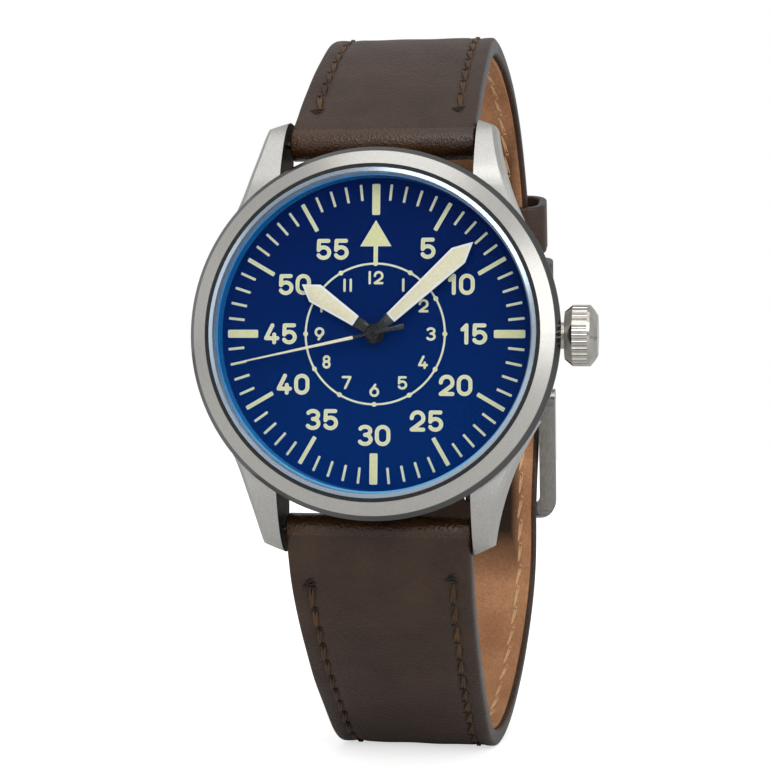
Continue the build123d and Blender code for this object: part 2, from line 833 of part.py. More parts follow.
slim_wheel_height = slim_wheel_share * low_wheel_height


def arbor(at, foot=arbor_foot, top=arbor_top):
    return disc(arbor_radius, foot, top, at)


# A wheel and its pinion on one arbor, one of them high and the other low
def train_wheel(name, at, high_wheel, low_height):
    high = (high_wheel_level, high_wheel_height, at)
    low = (low_wheel_level, low_height, at)
    wheel_place, pinion_place = (high, low) if high_wheel else (low, high)
    return wheel_gear(name, *wheel_place) + pinion_gear(name, *pinion_place) + arbor(at)


def main_plate():
    plate = disc(movement_radius, plate_foot_level, plate_top_level)
    below = plate_foot_level - overrun
    above = plate_top_level + overrun
    for centre in (second_centre, third_centre, escape_centre, pallet_centre, balance_centre, barrel_centre):
        plate -= disc(arbor_radius + run_clearance, below, arbor_top + run_clearance, centre)
    plate -= disc(cannon_pipe_radius + run_clearance, below, above)
    window = keyless_window_width / 2
    window_top = plate_foot_level + keyless_window_depth
    plate -= block(keyless_window_start, keyless_window_end, -window, window, below, window_top)
    stem_hole = stem_radius + run_clearance
    plate -= bar_x(stem_hole, stem_inner_end - stem_end_gap, movement_radius + overrun, 0, crown_axis_level)
    for centre in bridge_screw_places():
        depth = bridge_screw_depth + hole_depth_gap
        plate -= disc(screw_shank_radius + seat_clearance, below, plate_foot_level + depth, centre)
    pin_foot = plate_top_level - pin_seat - hole_depth_gap
    plate -= disc(screw_shank_radius + run_clearance, pin_foot, above, (lever_pivot_x, lever_pivot_y))
    return plate - disc(arbor_radius + run_clearance, pin_foot, above, minute_centre)


def bridge_screw_places():
    return [polar(bridge_screw_reach_share * movement_radius, degrees) for degrees in bridge_screw_directions]


# The large bridge over barrel and train, on its feet at the rim of the plate
def train_bridge():
    below = bridge_foot_level - overrun
    above = bridge_top_level + overrun
    cover = disc(movement_radius, bridge_foot_level, bridge_top_level)
    cover -= disc(wheel_radius["balance"] + cock_margin + cock_gap, below, above, balance_centre)
    window = keyless_window_width / 2
    window_start = keyless_window_start - keyless_bridge_margin
    cover -= block(window_start, movement_radius + overrun, -window, window, below, above)
    for centre in (second_centre, third_centre, escape_centre, train_centre):
        cover -= disc(jewel_radius + seat_clearance, below, above, centre)
    cover -= disc(arbor_radius + run_clearance, below, above, pallet_centre)
    for centre in (barrel_centre, crown_wheel_centre):
        cover -= disc(screw_shank_radius + run_clearance, below, above, centre)
    for centre in bridge_screw_places():
        foot_radius = bridge_foot_share * screw_head_radius
        foot = disc(foot_radius, bridge_top_level, plate_foot_level - foot_seat_gap, centre)
        cover += foot & disc(movement_radius, bridge_foot_level, plate_foot_level)
        cover -= disc(screw_shank_radius + seat_clearance, below, plate_foot_level + overrun, centre)
    return cover


# The cock that carries the balance, standing on the plate at the rim
def balance_cock():
    reach = math.hypot(*balance_centre)
    direction = math.degrees(math.atan2(balance_centre[1], balance_centre[0]))
    foot_at = polar(movement_radius - cock_foot_inset, direction)
    outward = movement_radius - reach + overrun
    plan = Pos((outward - cock_nose) / 2, 0) * RectangleRounded(outward + cock_nose, cock_width, cock_corner)
    place = Pos(balance_centre[0], balance_centre[1], bridge_foot_level) * Rot(0, 0, direction)
    arm = extrude(place * plan, bridge_top_level - bridge_foot_level)
    opening = disc(wheel_radius["balance"] + cock_margin, bridge_foot_level, bridge_top_level, balance_centre)
    cock = arm & disc(movement_radius, bridge_foot_level, bridge_top_level) & opening
    foot = disc(cock_foot_radius, bridge_top_level, plate_foot_level - foot_seat_gap, foot_at)
    cock += foot & disc(movement_radius, bridge_foot_level, plate_foot_level)
    bore = jewel_radius + seat_clearance
    return cock - disc(bore, bridge_foot_level - overrun, bridge_top_level + overrun, balance_centre)


def jewels():
    solids = []
    for centre in (second_centre, third_centre, escape_centre, train_centre, balance_centre):
        bore = second_arbor_bore if centre == train_centre else arbor_radius + run_clearance
        solids.append(ring(jewel_radius, bore, bridge_foot_level, bridge_foot_level + jewel_height, centre))
    return Compound(children=solids)


def bridge_screws():
    solids = []
    head_foot = bridge_foot_level - screw_head_height
    for centre in bridge_screw_places():
        head = disc(screw_head_radius, head_foot, bridge_foot_level, centre)
        half = screw_slot_width / 2
        slot = block(-screw_head_radius, screw_head_radius, -half, half, head_foot - overrun,
                     head_foot + screw_slot_share * screw_head_height)
        head -= Pos(*centre) * slot
        tip = plate_foot_level + bridge_screw_depth
        solids.append(head + disc(screw_shank_radius, bridge_foot_level, tip, centre))
    return Compound(children=solids)


def clamp_places():
    return [polar(movement_radius + clamp_offset, degrees) for degrees in clamp_directions]


# Two screws with wide heads that hold the plate in its ring
def holder_clamps():
    solids = []
    for centre in clamp_places():
        head = disc(clamp_head_radius, holder_foot_level - screw_head_height, holder_foot_level, centre)
        tip = holder_foot_level + clamp_length
        solids.append(head + disc(screw_shank_radius, holder_foot_level, tip, centre))
    return Compound(children=solids)


def movement_holder():
    outer = case_bore_radius - run_clearance
    body = ring(outer, movement_radius + run_clearance, holder_foot_level, holder_top_level)
    body -= bar_x(crown_tube_bore, movement_radius - overrun, case_radius, 0, crown_axis_level)
    for centre in clamp_places():
        depth = clamp_length + hole_depth_gap
        shank_hole = screw_shank_radius + seat_clearance
        body -= disc(shank_hole, holder_foot_level - overrun, holder_foot_level + depth, centre)
    return body


def balance():
    radius = wheel_radius["balance"]
    wheel = ring(radius, radius - balance_rim, high_wheel_level, high_wheel_top, balance_centre)
    reach = radius - balance_rim / 2
    half = balance_arm_width / 2
    for degrees in (0, 90):
        arm = block(-reach, reach, -half, half, high_wheel_level, high_wheel_top)
        wheel += Pos(*balance_centre) * Rot(0, 0, degrees) * arm
    roller = disc(roller_radius, low_wheel_top - roller_height, low_wheel_top, balance_centre)
    return wheel + hairspring() + arbor(balance_centre) + roller


# The hairspring as a flat set of rings joined by its stud
def hairspring():
    top = low_wheel_level + hairspring_height
    spring = disc(collet_radius, low_wheel_level, low_wheel_level + collet_height, balance_centre)
    for turn in range(hairspring_turn_count):
        reach = hairspring_start + turn * hairspring_pitch
        spring += ring(reach, reach - hairspring_wire, low_wheel_level, top, balance_centre)
    half = hairspring_stud_width / 2
    return spring + Pos(*balance_centre) * block(0, hairspring_stud_length, -half, half, low_wheel_level, top)


# A lever with two pallets towards the escape wheel and a fork towards the balance
def pallet_fork():
    top = low_wheel_top - roller_height - pallet_gap
    foot = low_wheel_level + hairspring_height + pallet_gap
    reach = balance_reach - roller_radius - pallet_horn_gap
    half = pallet_lever_width / 2
    lever = Rot(0, 0, balance_direction) * block(0, reach, -half, half, foot, top)
    thick = pallet_cross_width / 2
    span = pallet_cross_length / 2
    cross = Rot(0, 0, pallet_direction + 180) * block(-thick, thick, -span, span, foot, top)
    hub = disc(pallet_hub_radius, foot, top, pallet_centre)
    arms = Pos(*pallet_centre) * (lever + cross)
    return arms + hub + disc(arbor_radius, arbor_foot, low_wheel_top, pallet_centre)


# The half disc that winds the watch, with its heavy rim
def rotor():
    web_top = rotor_foot_level + rotor_web_height
    rim = ring(rotor_radius, rotor_radius - rotor_rim_width, web_top, rotor_rim_top_level)
    whole = disc(rotor_radius, rotor_foot_level, web_top) + rim
    half = whole & block(-case_radius, case_radius, -case_radius, 0, 0, case_top_level)
    body = half + disc(rotor_hub_radius, rotor_foot_level, web_top)
    return body - disc(rotor_bore_radius, rotor_foot_level - overrun, web_top + overrun)


# The bearing screw that the rotor turns on
def rotor_post():
    foot = rotor_foot_level - rotor_post_lift
    post = disc(rotor_bore_radius - run_clearance, foot, bridge_foot_level)
    post += disc(rotor_post_flange_radius, foot - rotor_post_flange_height, foot)
    return post - disc(second_arbor_bore, bridge_foot_level - rotor_post_well, bridge_foot_level + overrun)


def winding_wheel(name, centre):
    body = wheel_gear(name, winding_wheel_level, winding_wheel_height, centre)
    return body + disc(screw_shank_radius, winding_wheel_level, bridge_top_level, centre)


def winding_pinion():
    start = keyless_window_start + winding_pinion_offset
    end = start + winding_pinion_length
    face = toothed_face(pinion_radius["winding"], pinion_tooth_count["winding"])
    body = Pos(start, 0, crown_axis_level) * Rot(0, 90, 0) * extrude(face, winding_pinion_length)
    return body - bar_x(stem_radius + run_clearance, start - overrun, end + overrun, 0, crown_axis_level)


def setting_lever():
    foot = plate_top_level + lever_lift
    plan = RectangleRounded(lever_width, lever_length, lever_corner)
    arm = Pos(lever_pivot_x, lever_pivot_y, foot) * extrude(plan, lever_height)
    return arm + disc(screw_shank_radius, plate_top_level - pin_seat, foot, (lever_pivot_x, lever_pivot_y))


def seconds_wheel():
    high = wheel_gear("fourth", high_wheel_level, high_wheel_height, train_centre)
    low = pinion_gear("fourth", low_wheel_level, slim_wheel_height, train_centre)
    return high + low + disc(second_arbor_radius, arbor_foot, second_hand_level, train_centre)


# The pinion and pipe that carry the minute hand
def cannon_pinion():
    body = pinion_gear("cannon", motion_wheel_level, motion_wheel_height, train_centre)
    body += disc(cannon_pipe_radius, plate_foot_level + run_clearance, minute_hand_level + hand_thickness)
    return body - disc(second_arbor_bore, 0, crystal_top_level)


def minute_wheel():
    top = motion_wheel_level + motion_wheel_height
    body = wheel_gear("minute", motion_wheel_level, motion_wheel_height, minute_centre)
    body += pinion_gear("minute", top, motion_wheel_height, minute_centre)
    return body + disc(arbor_radius, plate_top_level - pin_seat, top, minute_centre)


def hour_wheel():
    body = wheel_gear("hour", hour_wheel_level, motion_wheel_height, train_centre)
    body += disc(hour_pipe_radius, hour_wheel_level, hour_hand_level + hand_thickness)
    return body - disc(hour_pipe_bore, 0, crystal_top_level)


def build_movement():
    save("main_plate", main_plate())
    save("train_bridge", train_bridge())
    save("balance_cock", balance_cock())
    save("jewels", jewels())
    save("bridge_screws", bridge_screws())
    save("holder_screws", holder_clamps())
    save("movement_holder", movement_holder())
    drum = wheel_gear("barrel", low_wheel_level, low_wheel_height, barrel_centre, barrel_window_count)
    save("barrel", drum + arbor(barrel_centre, low_wheel_level - arbor_lift))
    save("second_wheel", train_wheel("second", second_centre, True, low_wheel_height))
    save("third_wheel", train_wheel("third", third_centre, False, slim_wheel_height))
    save("seconds_wheel", seconds_wheel())
    save("escape_wheel", train_wheel("escape", escape_centre, False, slim_wheel_height))
    save("pallet_fork", pallet_fork())
    save("balance", balance())
    save("cannon_pinion", cannon_pinion())
    save("minute_wheel", minute_wheel())
    save("hour_wheel", hour_wheel())
    save("ratchet_wheel", winding_wheel("ratchet", barrel_centre))
    save("crown_wheel", winding_wheel("crown", crown_wheel_centre))
    save("winding_pinion", winding_pinion())
    save("setting_lever", setting_lever())
    save("rotor", rotor())
    save("rotor_post", rotor_post())
    save("crown", crown())
    save("crown_tube", crown_tube())
    save("crown_gasket", crown_gasket())


# Strap

# The sideways lean of the loop, which grows with the depth below the dial
def lean_at(level):
    share = max(0, (dial_level - level - lean_start) / (loop_depth - lean_start))
    return strap_lean * share ** lean_power


def route_points(shares, reach, side):
    return [(0, side * share_y * reach, dial_level - share_z * loop_depth) for share_y, share_z in shares]


upper_path = Spline((0, bar_reach, bar_level), *route_points(upper_route_shares, loop_rise, 1))
upper_length = upper_path.length
buckle_centre = upper_path @ 1
buckle_along = upper_path % 1
buckle_out = Vector(0, buckle_along.Z, -buckle_along.Y) * -1
strap_end_thickness = leather_end_thickness + lining_thickness + lining_gap
layer_pitch = strap_end_thickness + layer_gap
roll_pitch = buckle_roll_radius + layer_gap + strap_end_thickness / 2
rail_pitch = rail_lift - rail_radius - layer_gap - strap_end_thickness / 2


# Point, direction and outward normal of a strap's centre line at a length along it
def on_path(path, station):
    point = path.position_at(station, position_mode=PositionMode.LENGTH)
    along = path.tangent_at(station, position_mode=PositionMode.LENGTH)
    out = Vector(0, along.Z, -along.Y)
    centre = Vector(0, 0, dial_level - loop_depth / 2)
    if out.dot(point - centre) < 0:
        out = out * -1
    return point, along, out


# A point in the buckle's own axes, from the bar's centre
def frame_point(along, out):
    return buckle_centre + buckle_along * along + buckle_out * out


# The tail lies one layer outside the upper half, from the buckle bar back towards 12 o'clock
def tail_points():
    points = []
    for station in (tail_length / 3, 2 * tail_length / 3, tail_length):
        point, along, out = on_path(upper_path, upper_length - station)
        points.append(point + out * layer_pitch)
    return points


lower_path = Spline((0, -bar_reach, bar_level), *route_points(lower_route_shares, loop_drop, -1),
                    frame_point(frame_length, rail_pitch),
                    frame_point(frame_length / 2, (rail_pitch + roll_pitch) / 2), frame_point(0, roll_pitch),
                    *tail_points())
lower_length = lower_path.length


# The length along a path where it comes nearest to a point
def station_of(path, target):
    steps = 400
    best = min(range(steps + 1), key=lambda step: (path.position_at(path.length * step / steps,
               position_mode=PositionMode.LENGTH) - target).length)
    return path.length * best / steps


rail_station = station_of(lower_path, frame_point(frame_length, rail_pitch))


def taper(station, buckle_station, root, end):
    share = min(1, station / buckle_station)
    return root + (end - root) * share


# Narrows the tail to a rounded tip
def tip_share(station, length):
    left = (length - station) / tail_round
    return 1 if left >= 1 else math.sqrt(max(tail_blunt_share, 1 - (1 - left) ** 2))


# A tapering strip along a path between two offsets from its centre line
def strip(path, buckle_station, inset, low, high, tipped=False):
    end = path.length
    body_end = end - tail_round if tipped else end
    count = max(3, round(body_end / station_pitch))
    stations = [body_end * step / count for step in range(count + 1)]
    if tipped:
        stations += [end - share * tail_round for share in tail_station_shares] + [end]
    sections = []
    for station in stations:
        point, along, out = on_path(path, station)
        leather = taper(station, buckle_station, leather_root_thickness, leather_end_thickness)
        thickness = leather + lining_gap + lining_thickness
        bottom, top = low(thickness), high(thickness)
        width = taper(station, buckle_station, strap_root_width, strap_end_width) - 2 * inset
        width = width * tip_share(station, path.length) if tipped else width
        middle = point + out * ((bottom + top) / 2)
        shift = Vector(lean_at(point.Z), 0, 0)
        plane = Plane(origin=middle + shift, x_dir=(1, 0, 0), z_dir=along)
        height = top - bottom
        sections.append(plane * RectangleRounded(width, height, strap_edge_share * height))
    return loft(sections)


def leather_strip(path, buckle_station, tipped=False):
    return strip(path, buckle_station, 0, leather_foot, half_of, tipped)


def lining_strip(path, buckle_station, tipped=False):
    return strip(path, buckle_station, lining_inset, lining_foot, lining_top, tipped)


# Offsets of the two layers from the centre line, for a strap of a given thickness
def half_of(thickness):
    return thickness / 2


def lining_foot(thickness):
    return -thickness / 2


def lining_top(thickness):
    return lining_thickness - thickness / 2


def leather_foot(thickness):
    return lining_top(thickness) + lining_gap


def roll(radius, width, at, lean):
    return bar_x(radius, lean - width / 2, lean + width / 2, at.Y, at.Z)


# Cuts the tang's slot and the row of round holes
def punched(shape, station):
    reach = 3 * strap_end_thickness
    for place in range(-holes_below, holes_above + 1):
        if place == 0:
            continue
        spot, along, out = on_path(lower_path, station + place * hole_pitch)
        plane = Plane(origin=spot + Vector(lean_at(spot.Z), 0, 0) - out * (reach / 2), z_dir=out)
        shape -= plane * Cylinder(hole_radius, reach, align=(Align.CENTER, Align.CENTER, Align.MIN))
    middle = frame_point((tang_slot_start + tang_slot_end) / 2, roll_pitch)
    plane = Plane(origin=middle + Vector(buckle_lean, 0, 0), x_dir=buckle_along, z_dir=buckle_out)
    slot = Pos(0, 0, -reach / 2) * SlotOverall(tang_slot_end - tang_slot_start, tang_width + 2 * tang_slack)
    return shape - plane * extrude(slot, reach)


buckle_lean = lean_at(buckle_centre.Z)
hole_station = station_of(lower_path, frame_point((tang_slot_start + tang_slot_end) / 2, roll_pitch))


def build_strap():
    upper_bar = upper_path @ 0
    lower_bar = lower_path @ 0
    seat = bar_radius + run_clearance
    upper = leather_strip(upper_path, upper_length)
    upper += roll(strap_roll_radius, strap_root_width, upper_bar, 0)
    upper += roll(buckle_roll_radius, strap_end_width, buckle_centre, buckle_lean)
    upper -= roll(seat, 2 * strap_root_width, upper_bar, 0)
    upper -= roll(buckle_bar_radius + run_clearance, 2 * strap_root_width, buckle_centre, buckle_lean)
    slot = Plane(origin=buckle_centre + Vector(buckle_lean, 0, 0), x_dir=(1, 0, 0), z_dir=buckle_out)
    room = tang_eye_radius + tang_slack
    upper -= slot * Box(tang_width + 2 * tang_slack, 2 * (room + run_clearance), 4 * buckle_roll_radius)
    save("strap_12_leather", upper)
    margin = strap_roll_radius + lining_gap
    upper_lining = lining_strip(upper_path, upper_length) - roll(margin, 2 * strap_root_width, upper_bar, 0)
    upper_lining -= roll(tang_eye_radius + buckle_bar_radius, 2 * strap_root_width, buckle_centre, buckle_lean)
    save("strap_12_lining", upper_lining)
    lower = leather_strip(lower_path, rail_station, tipped=True)
    lower += roll(strap_roll_radius, strap_root_width, lower_bar, 0)
    lower -= roll(seat, 2 * strap_root_width, lower_bar, 0)
    save("strap_6_leather", punched(lower, hole_station))
    lower_lining = lining_strip(lower_path, rail_station, tipped=True)
    lower_lining -= roll(margin, 2 * strap_root_width, lower_bar, 0)
    save("strap_6_lining", punched(lower_lining, hole_station))
    for node, spot in (("spring_bar_12", upper_bar), ("spring_bar_6", lower_bar)):
        half = lug_gap / 2 - soft_clearance
        tip = lug_gap / 2 + bar_pivot_length
        barrel = bar_x(bar_radius, -half, half, spot.Y, spot.Z)
        save(node, barrel + bar_x(bar_pivot_radius, -tip, tip, spot.Y, spot.Z))


# A loop of leather round both layers of the strap
def keeper(station, length, slack):
    point, along, out = on_path(upper_path, upper_length - station)
    inner_half = strap_end_width / 2 + slack
    bottom = -strap_end_thickness / 2 - keeper_headroom
    height = layer_pitch + strap_end_thickness / 2 + keeper_headroom - bottom
    centre = point + out * (bottom + height / 2) - along * (length / 2) + Vector(lean_at(point.Z), 0, 0)
    plane = Plane(origin=centre, x_dir=(1, 0, 0), z_dir=along)
    window = RectangleRounded(2 * inner_half, height, keeper_corner)
    outer_half = inner_half + keeper_wall
    wall = RectangleRounded(2 * outer_half, height + 2 * keeper_wall, keeper_corner + keeper_wall)
    return plane * extrude(wall - window, length)


# The buckle's frame: two arms with eyes on the bar, and the round rail across their ends
def buckle_frame():
    inner = strap_end_width / 2 + arm_gap
    outer = inner + arm_width
    edge = buckle_centre + Vector(buckle_lean - outer, 0, 0)
    side = Plane(origin=edge, x_dir=buckle_along, z_dir=(1, 0, 0))
    lift = side.to_local_coords(frame_point(frame_length, rail_lift))
    tilt = math.degrees(math.atan2(lift.Y, lift.X))
    arm_length = math.hypot(lift.X, lift.Y)
    band = Rot(0, 0, tilt) * Pos(arm_length / 2, 0) * Rectangle(arm_length, arm_thickness)
    profile = band + Circle(frame_eye_radius) + Pos(lift.X, lift.Y) * Circle(rail_radius)
    body = side * extrude(profile, 2 * outer)
    plan = Plane(origin=buckle_centre + Vector(buckle_lean, 0, 0), x_dir=buckle_along, z_dir=buckle_out)
    behind = -frame_eye_radius - frame_corner
    plate = frame_plan(behind, frame_length + rail_radius, outer, frame_corner)
    window = frame_plan(behind - frame_corner, frame_length - rail_radius, inner, frame_corner / 2)
    depth = 4 * rail_lift
    body &= plan * Pos(0, 0, -depth / 2) * extrude(plate - window, depth)
    seat = buckle_bar_radius + run_clearance
    half = inner + buckle_bar_seat + run_clearance
    return body - bar_x(seat, buckle_lean - half, buckle_lean + half, buckle_centre.Y, buckle_centre.Z)


# A rounded rectangle along the buckle, between two places on its axis
def frame_plan(start, end, half_width, corner):
    return Pos((start + end) / 2, 0) * RectangleRounded(end - start, 2 * half_width, corner)


# The pin of the buckle: an eye on the bar, a knee through the strap and a tip on the rail
def buckle_tang():
    rest = rail_lift + rail_radius + run_clearance + tang_thickness / 2
    bend = (tang_bend_reach_share * tang_knee_reach, tang_bend_lift_share * tang_knee_lift)
    tip = (frame_length + tang_overhang, rest - tang_tip_drop_share * tang_thickness)
    line = [(0, 0), bend, (tang_knee_reach, tang_knee_lift), (frame_length, rest), tip]
    edge = buckle_centre + Vector(buckle_lean - tang_width / 2, 0, 0)
    plane = Plane(origin=edge, x_dir=buckle_along, z_dir=(1, 0, 0))
    sign = 1 if plane.to_local_coords(frame_point(0, 1)).Y > 0 else -1
    line = [(x, sign * y) for x, y in line]
    path = Polyline(*line)
    face = trace(path, tang_thickness)
    for point in line[1:]:
        face += Pos(*point) * Circle(tang_thickness / 2)
    face += Circle(tang_eye_radius)
    face -= Circle(buckle_bar_radius + run_clearance)
    return plane * extrude(face, tang_width, dir=(0, 0, 1))


def build_buckle():
    save("free_keeper", keeper(free_keeper_station, free_keeper_length, free_keeper_slack))
    save("fixed_keeper", keeper(fixed_keeper_station, fixed_keeper_length, fixed_keeper_slack))
    save("buckle_frame", buckle_frame())
    save("buckle_tang", buckle_tang())
    half = strap_end_width / 2 + arm_gap + buckle_bar_seat
    start, end = buckle_lean - half, buckle_lean + half
    save("buckle_bar", bar_x(buckle_bar_radius, start, end, buckle_centre.Y, buckle_centre.Z))


os.makedirs("parts", exist_ok=True)
build_case()
build_dial()
build_hands()
build_movement()
build_strap()
build_buckle()
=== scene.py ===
# Pilot watch on a buckled leather strap: the looks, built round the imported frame
# Lengths in the dictionaries are millimetres; dial towards -Y, 12 o'clock +Z, crown +X
import math
import random

import bmesh
import bpy
import numpy as np
from mathutils import Matrix, Vector


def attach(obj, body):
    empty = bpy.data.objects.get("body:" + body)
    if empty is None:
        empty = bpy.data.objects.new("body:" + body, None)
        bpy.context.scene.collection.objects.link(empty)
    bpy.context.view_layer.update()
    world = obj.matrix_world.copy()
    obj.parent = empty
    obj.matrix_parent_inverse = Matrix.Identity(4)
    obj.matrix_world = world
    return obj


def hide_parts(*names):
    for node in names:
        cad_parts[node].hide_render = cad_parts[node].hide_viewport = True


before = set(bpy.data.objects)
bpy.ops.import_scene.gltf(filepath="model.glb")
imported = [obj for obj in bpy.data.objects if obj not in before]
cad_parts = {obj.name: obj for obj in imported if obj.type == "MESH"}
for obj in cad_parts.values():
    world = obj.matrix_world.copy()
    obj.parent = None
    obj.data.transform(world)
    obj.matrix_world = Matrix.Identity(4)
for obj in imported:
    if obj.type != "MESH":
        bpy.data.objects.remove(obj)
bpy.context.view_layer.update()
random.seed(7)
print("frame loaded:", len(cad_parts), "nodes")

millimetre = 0.001
toMetres = Matrix.Scale(millimetre, 4)
dialFront = -7.6  # depth of the dial's surface in the frame
# turns a flat drawing up onto the dial
upright = Matrix(((1, 0, 0, 0), (0, 0, -1, dialFront), (0, 1, 0, 0), (0, 0, 0, 1)))


# Camera

cameraSet = {"turn": 8.91, "rise": -1.88, "roll": 0.60, "distance": 211.82, "right": 1.195, "up": -5.81,
             "lens": 87.83, "sensor": 36, "near": 5, "far": 20000}


def makeCamera(spec):
    turn, rise, roll = (math.radians(spec[key]) for key in ("turn", "rise", "roll"))
    back = Vector((math.sin(turn) * math.cos(rise), -math.cos(turn) * math.cos(rise), math.sin(rise)))
    side = Vector((math.cos(turn), math.sin(turn), 0))
    top = back.cross(side)
    right = math.cos(roll) * side + math.sin(roll) * top
    up = back.cross(right)
    place = Vector((0, dialFront, 0)) + spec["distance"] * back + spec["right"] * right + spec["up"] * up
    camera = bpy.data.objects.new("camera", bpy.data.cameras.new("camera"))
    bpy.context.collection.objects.link(camera)
    camera.matrix_world = Matrix((right, up, back)).transposed().to_4x4()
    camera.location = place * millimetre
    camera.data.lens = spec["lens"]
    camera.data.sensor_width = spec["sensor"]
    camera.data.clip_start = spec["near"] * millimetre
    camera.data.clip_end = spec["far"] * millimetre
    bpy.context.scene.camera = camera


makeCamera(cameraSet)


# Node helpers for the finishes

grainSpan = (0.3, 0.7)  # the middle values of a noise


def newFinish(name):
    finish = bpy.data.materials.new(name)
    finish.use_nodes = True
    tree = finish.node_tree
    shader = tree.nodes["Principled BSDF"]
    return finish, tree, shader


def toLinear(tone):
    # from the 0 to 255 of a colour picker
    shares = [value / 255 for value in tone]
    return [share / 12.92 if share <= 0.04045 else ((share + 0.055) / 1.055) ** 2.4 for share in shares]


def addNode(tree, kind, **inputs):
    node = tree.nodes.new("ShaderNode" + kind)
    for key, value in inputs.items():
        node.inputs[key.replace("_", " ")].default_value = value
    return node


def objectPlace(tree, stretch=(1, 1, 1)):
    place = tree.nodes.new("ShaderNodeTexCoord")
    mapping = addNode(tree, "Mapping", Scale=stretch)
    tree.links.new(place.outputs["Object"], mapping.inputs["Vector"])
    return mapping.outputs["Vector"]


def noiseFrom(tree, vector, scale, detail=3.0, roughness=0.55):
    noise = addNode(tree, "TexNoise", Scale=scale, Detail=detail, Roughness=roughness)
    tree.links.new(vector, noise.inputs["Vector"])
    return noise.outputs["Fac"]


def rampFrom(tree, value, stops):
    ramp = tree.nodes.new("ShaderNodeValToRGB")
    band = ramp.color_ramp
    while len(band.elements) < len(stops):
        band.elements.new(0.5)
    for element, (place, colour) in zip(band.elements, stops):
        element.position = place
        element.color = (*colour, 1)
    tree.links.new(value, ramp.inputs["Fac"])
    return ramp.outputs["Color"]


def spanFrom(tree, value, low, high, start, end):
    span = addNode(tree, "MapRange", From_Min=low, From_Max=high, To_Min=start, To_Max=end)
    tree.links.new(value, span.inputs["Value"])
    return span.outputs["Result"]


def lengthSpan(tree, value, span, start, end):
    # the value is in metres and the span in millimetres
    return spanFrom(tree, value, span[0] * millimetre, span[1] * millimetre, start, end)


def tonesFrom(tree, grain, spec):
    tones = [toLinear(spec["dark"]), toLinear(spec["light"])]
    return rampFrom(tree, grain, list(zip(grainSpan, tones)))


def roughFrom(tree, shader, grain, roughness):
    tree.links.new(spanFrom(tree, grain, *grainSpan, *roughness), shader.inputs["Roughness"])


def mathFrom(tree, operation, first, second=None):
    # the second value is a socket, a number or left out
    node = tree.nodes.new("ShaderNodeMath")
    node.operation = operation
    tree.links.new(first, node.inputs[0])
    if isinstance(second, float):
        node.inputs[1].default_value = second
    elif second:
        tree.links.new(second, node.inputs[1])
    return node.outputs["Value"]


def placeParts(tree):
    # a point's place and its three parts
    place = tree.nodes.new("ShaderNodeTexCoord").outputs["Object"]
    parts = tree.nodes.new("ShaderNodeSeparateXYZ")
    tree.links.new(place, parts.inputs["Vector"])
    return place, parts.outputs


def blendTo(tree, factor, first, tone):
    mix = tree.nodes.new("ShaderNodeMix")
    mix.data_type = "RGBA"
    mix.inputs["B"].default_value = (*toLinear(tone), 1)
    tree.links.new(factor, mix.inputs["Factor"])
    tree.links.new(first, mix.inputs["A"])
    return mix.outputs["Result"]


def bumpFrom(tree, shader, height, depth, before=None):
    bump = addNode(tree, "Bump", Distance=depth * millimetre)
    tree.links.new(height, bump.inputs["Height"])
    if before:
        tree.links.new(before, bump.inputs["Normal"])
    tree.links.new(bump.outputs["Normal"], shader.inputs["Normal"])
    return bump.outputs["Normal"]


# Metal finishes

def makeMetal(tree, shader, tone, grain, spec):
    tree.links.new(tone, shader.inputs["Base Color"])
    roughFrom(tree, shader, grain, spec["roughness"])
    shader.inputs["Metallic"].default_value = 1
    bumpFrom(tree, shader, grain, spec["depth"])


def brushedSteel(name, spec):
    finish, tree, shader = newFinish(name)
    grain = noiseFrom(tree, objectPlace(tree, spec["stretch"]), spec["grain"], 4)
    makeMetal(tree, shader, tonesFrom(tree, grain, spec), grain, spec)
    return finish


def lengthFrom(tree, vector):
    reach = tree.nodes.new("ShaderNodeVectorMath")
    reach.operation = "LENGTH"
    tree.links.new(vector, reach.inputs[0])
    return reach.outputs["Value"]


def radiusFrom(tree):
    # distance from the axis of the dial
    place, parts = placeParts(tree)
    flat = tree.nodes.new("ShaderNodeCombineXYZ")
    tree.links.new(parts["X"], flat.inputs["X"])
    tree.links.new(parts["Z"], flat.inputs["Y"])
    return lengthFrom(tree, flat.outputs["Vector"])


def bezelSteel(name, spec):
    # satin face inside, polished bevel outside its edge, drawn dark as a painted reflection
    finish, tree, shader = newFinish(name)
    grain = noiseFrom(tree, objectPlace(tree), spec["grain"], 3)
    edge = lengthSpan(tree, radiusFrom(tree), spec["edge"], 0, 1)
    # painted reflection: the bevel's colour is set dark
    tone = blendTo(tree, edge, tonesFrom(tree, grain, spec), spec["bevel"])
    tree.links.new(tone, shader.inputs["Base Color"])
    tree.links.new(spanFrom(tree, edge, 0, 1, *spec["roughness"]), shader.inputs["Roughness"])
    shader.inputs["Metallic"].default_value = 1
    bumpFrom(tree, shader, grain, spec["depth"])
    return finish


def caseSteel(name, spec):
    # satin steel, with painted shade on each wall between the lugs
    finish, tree, shader = newFinish(name)
    place, parts = placeParts(tree)
    between = lengthSpan(tree, mathFrom(tree, "ABSOLUTE", parts["X"]), spec["between"], 0, 1)
    beyond = lengthSpan(tree, mathFrom(tree, "ABSOLUTE", parts["Z"]), spec["beyond"], 0, 1)
    # painted shade: the steel's colour turns dark on each wall between the lugs
    paintedWallShade = mathFrom(tree, "MULTIPLY", between, beyond)
    grain = noiseFrom(tree, place, spec["grain"], 4)
    makeMetal(tree, shader, blendTo(tree, paintedWallShade, tonesFrom(tree, grain, spec), spec["shade"]), grain, spec)
    return finish


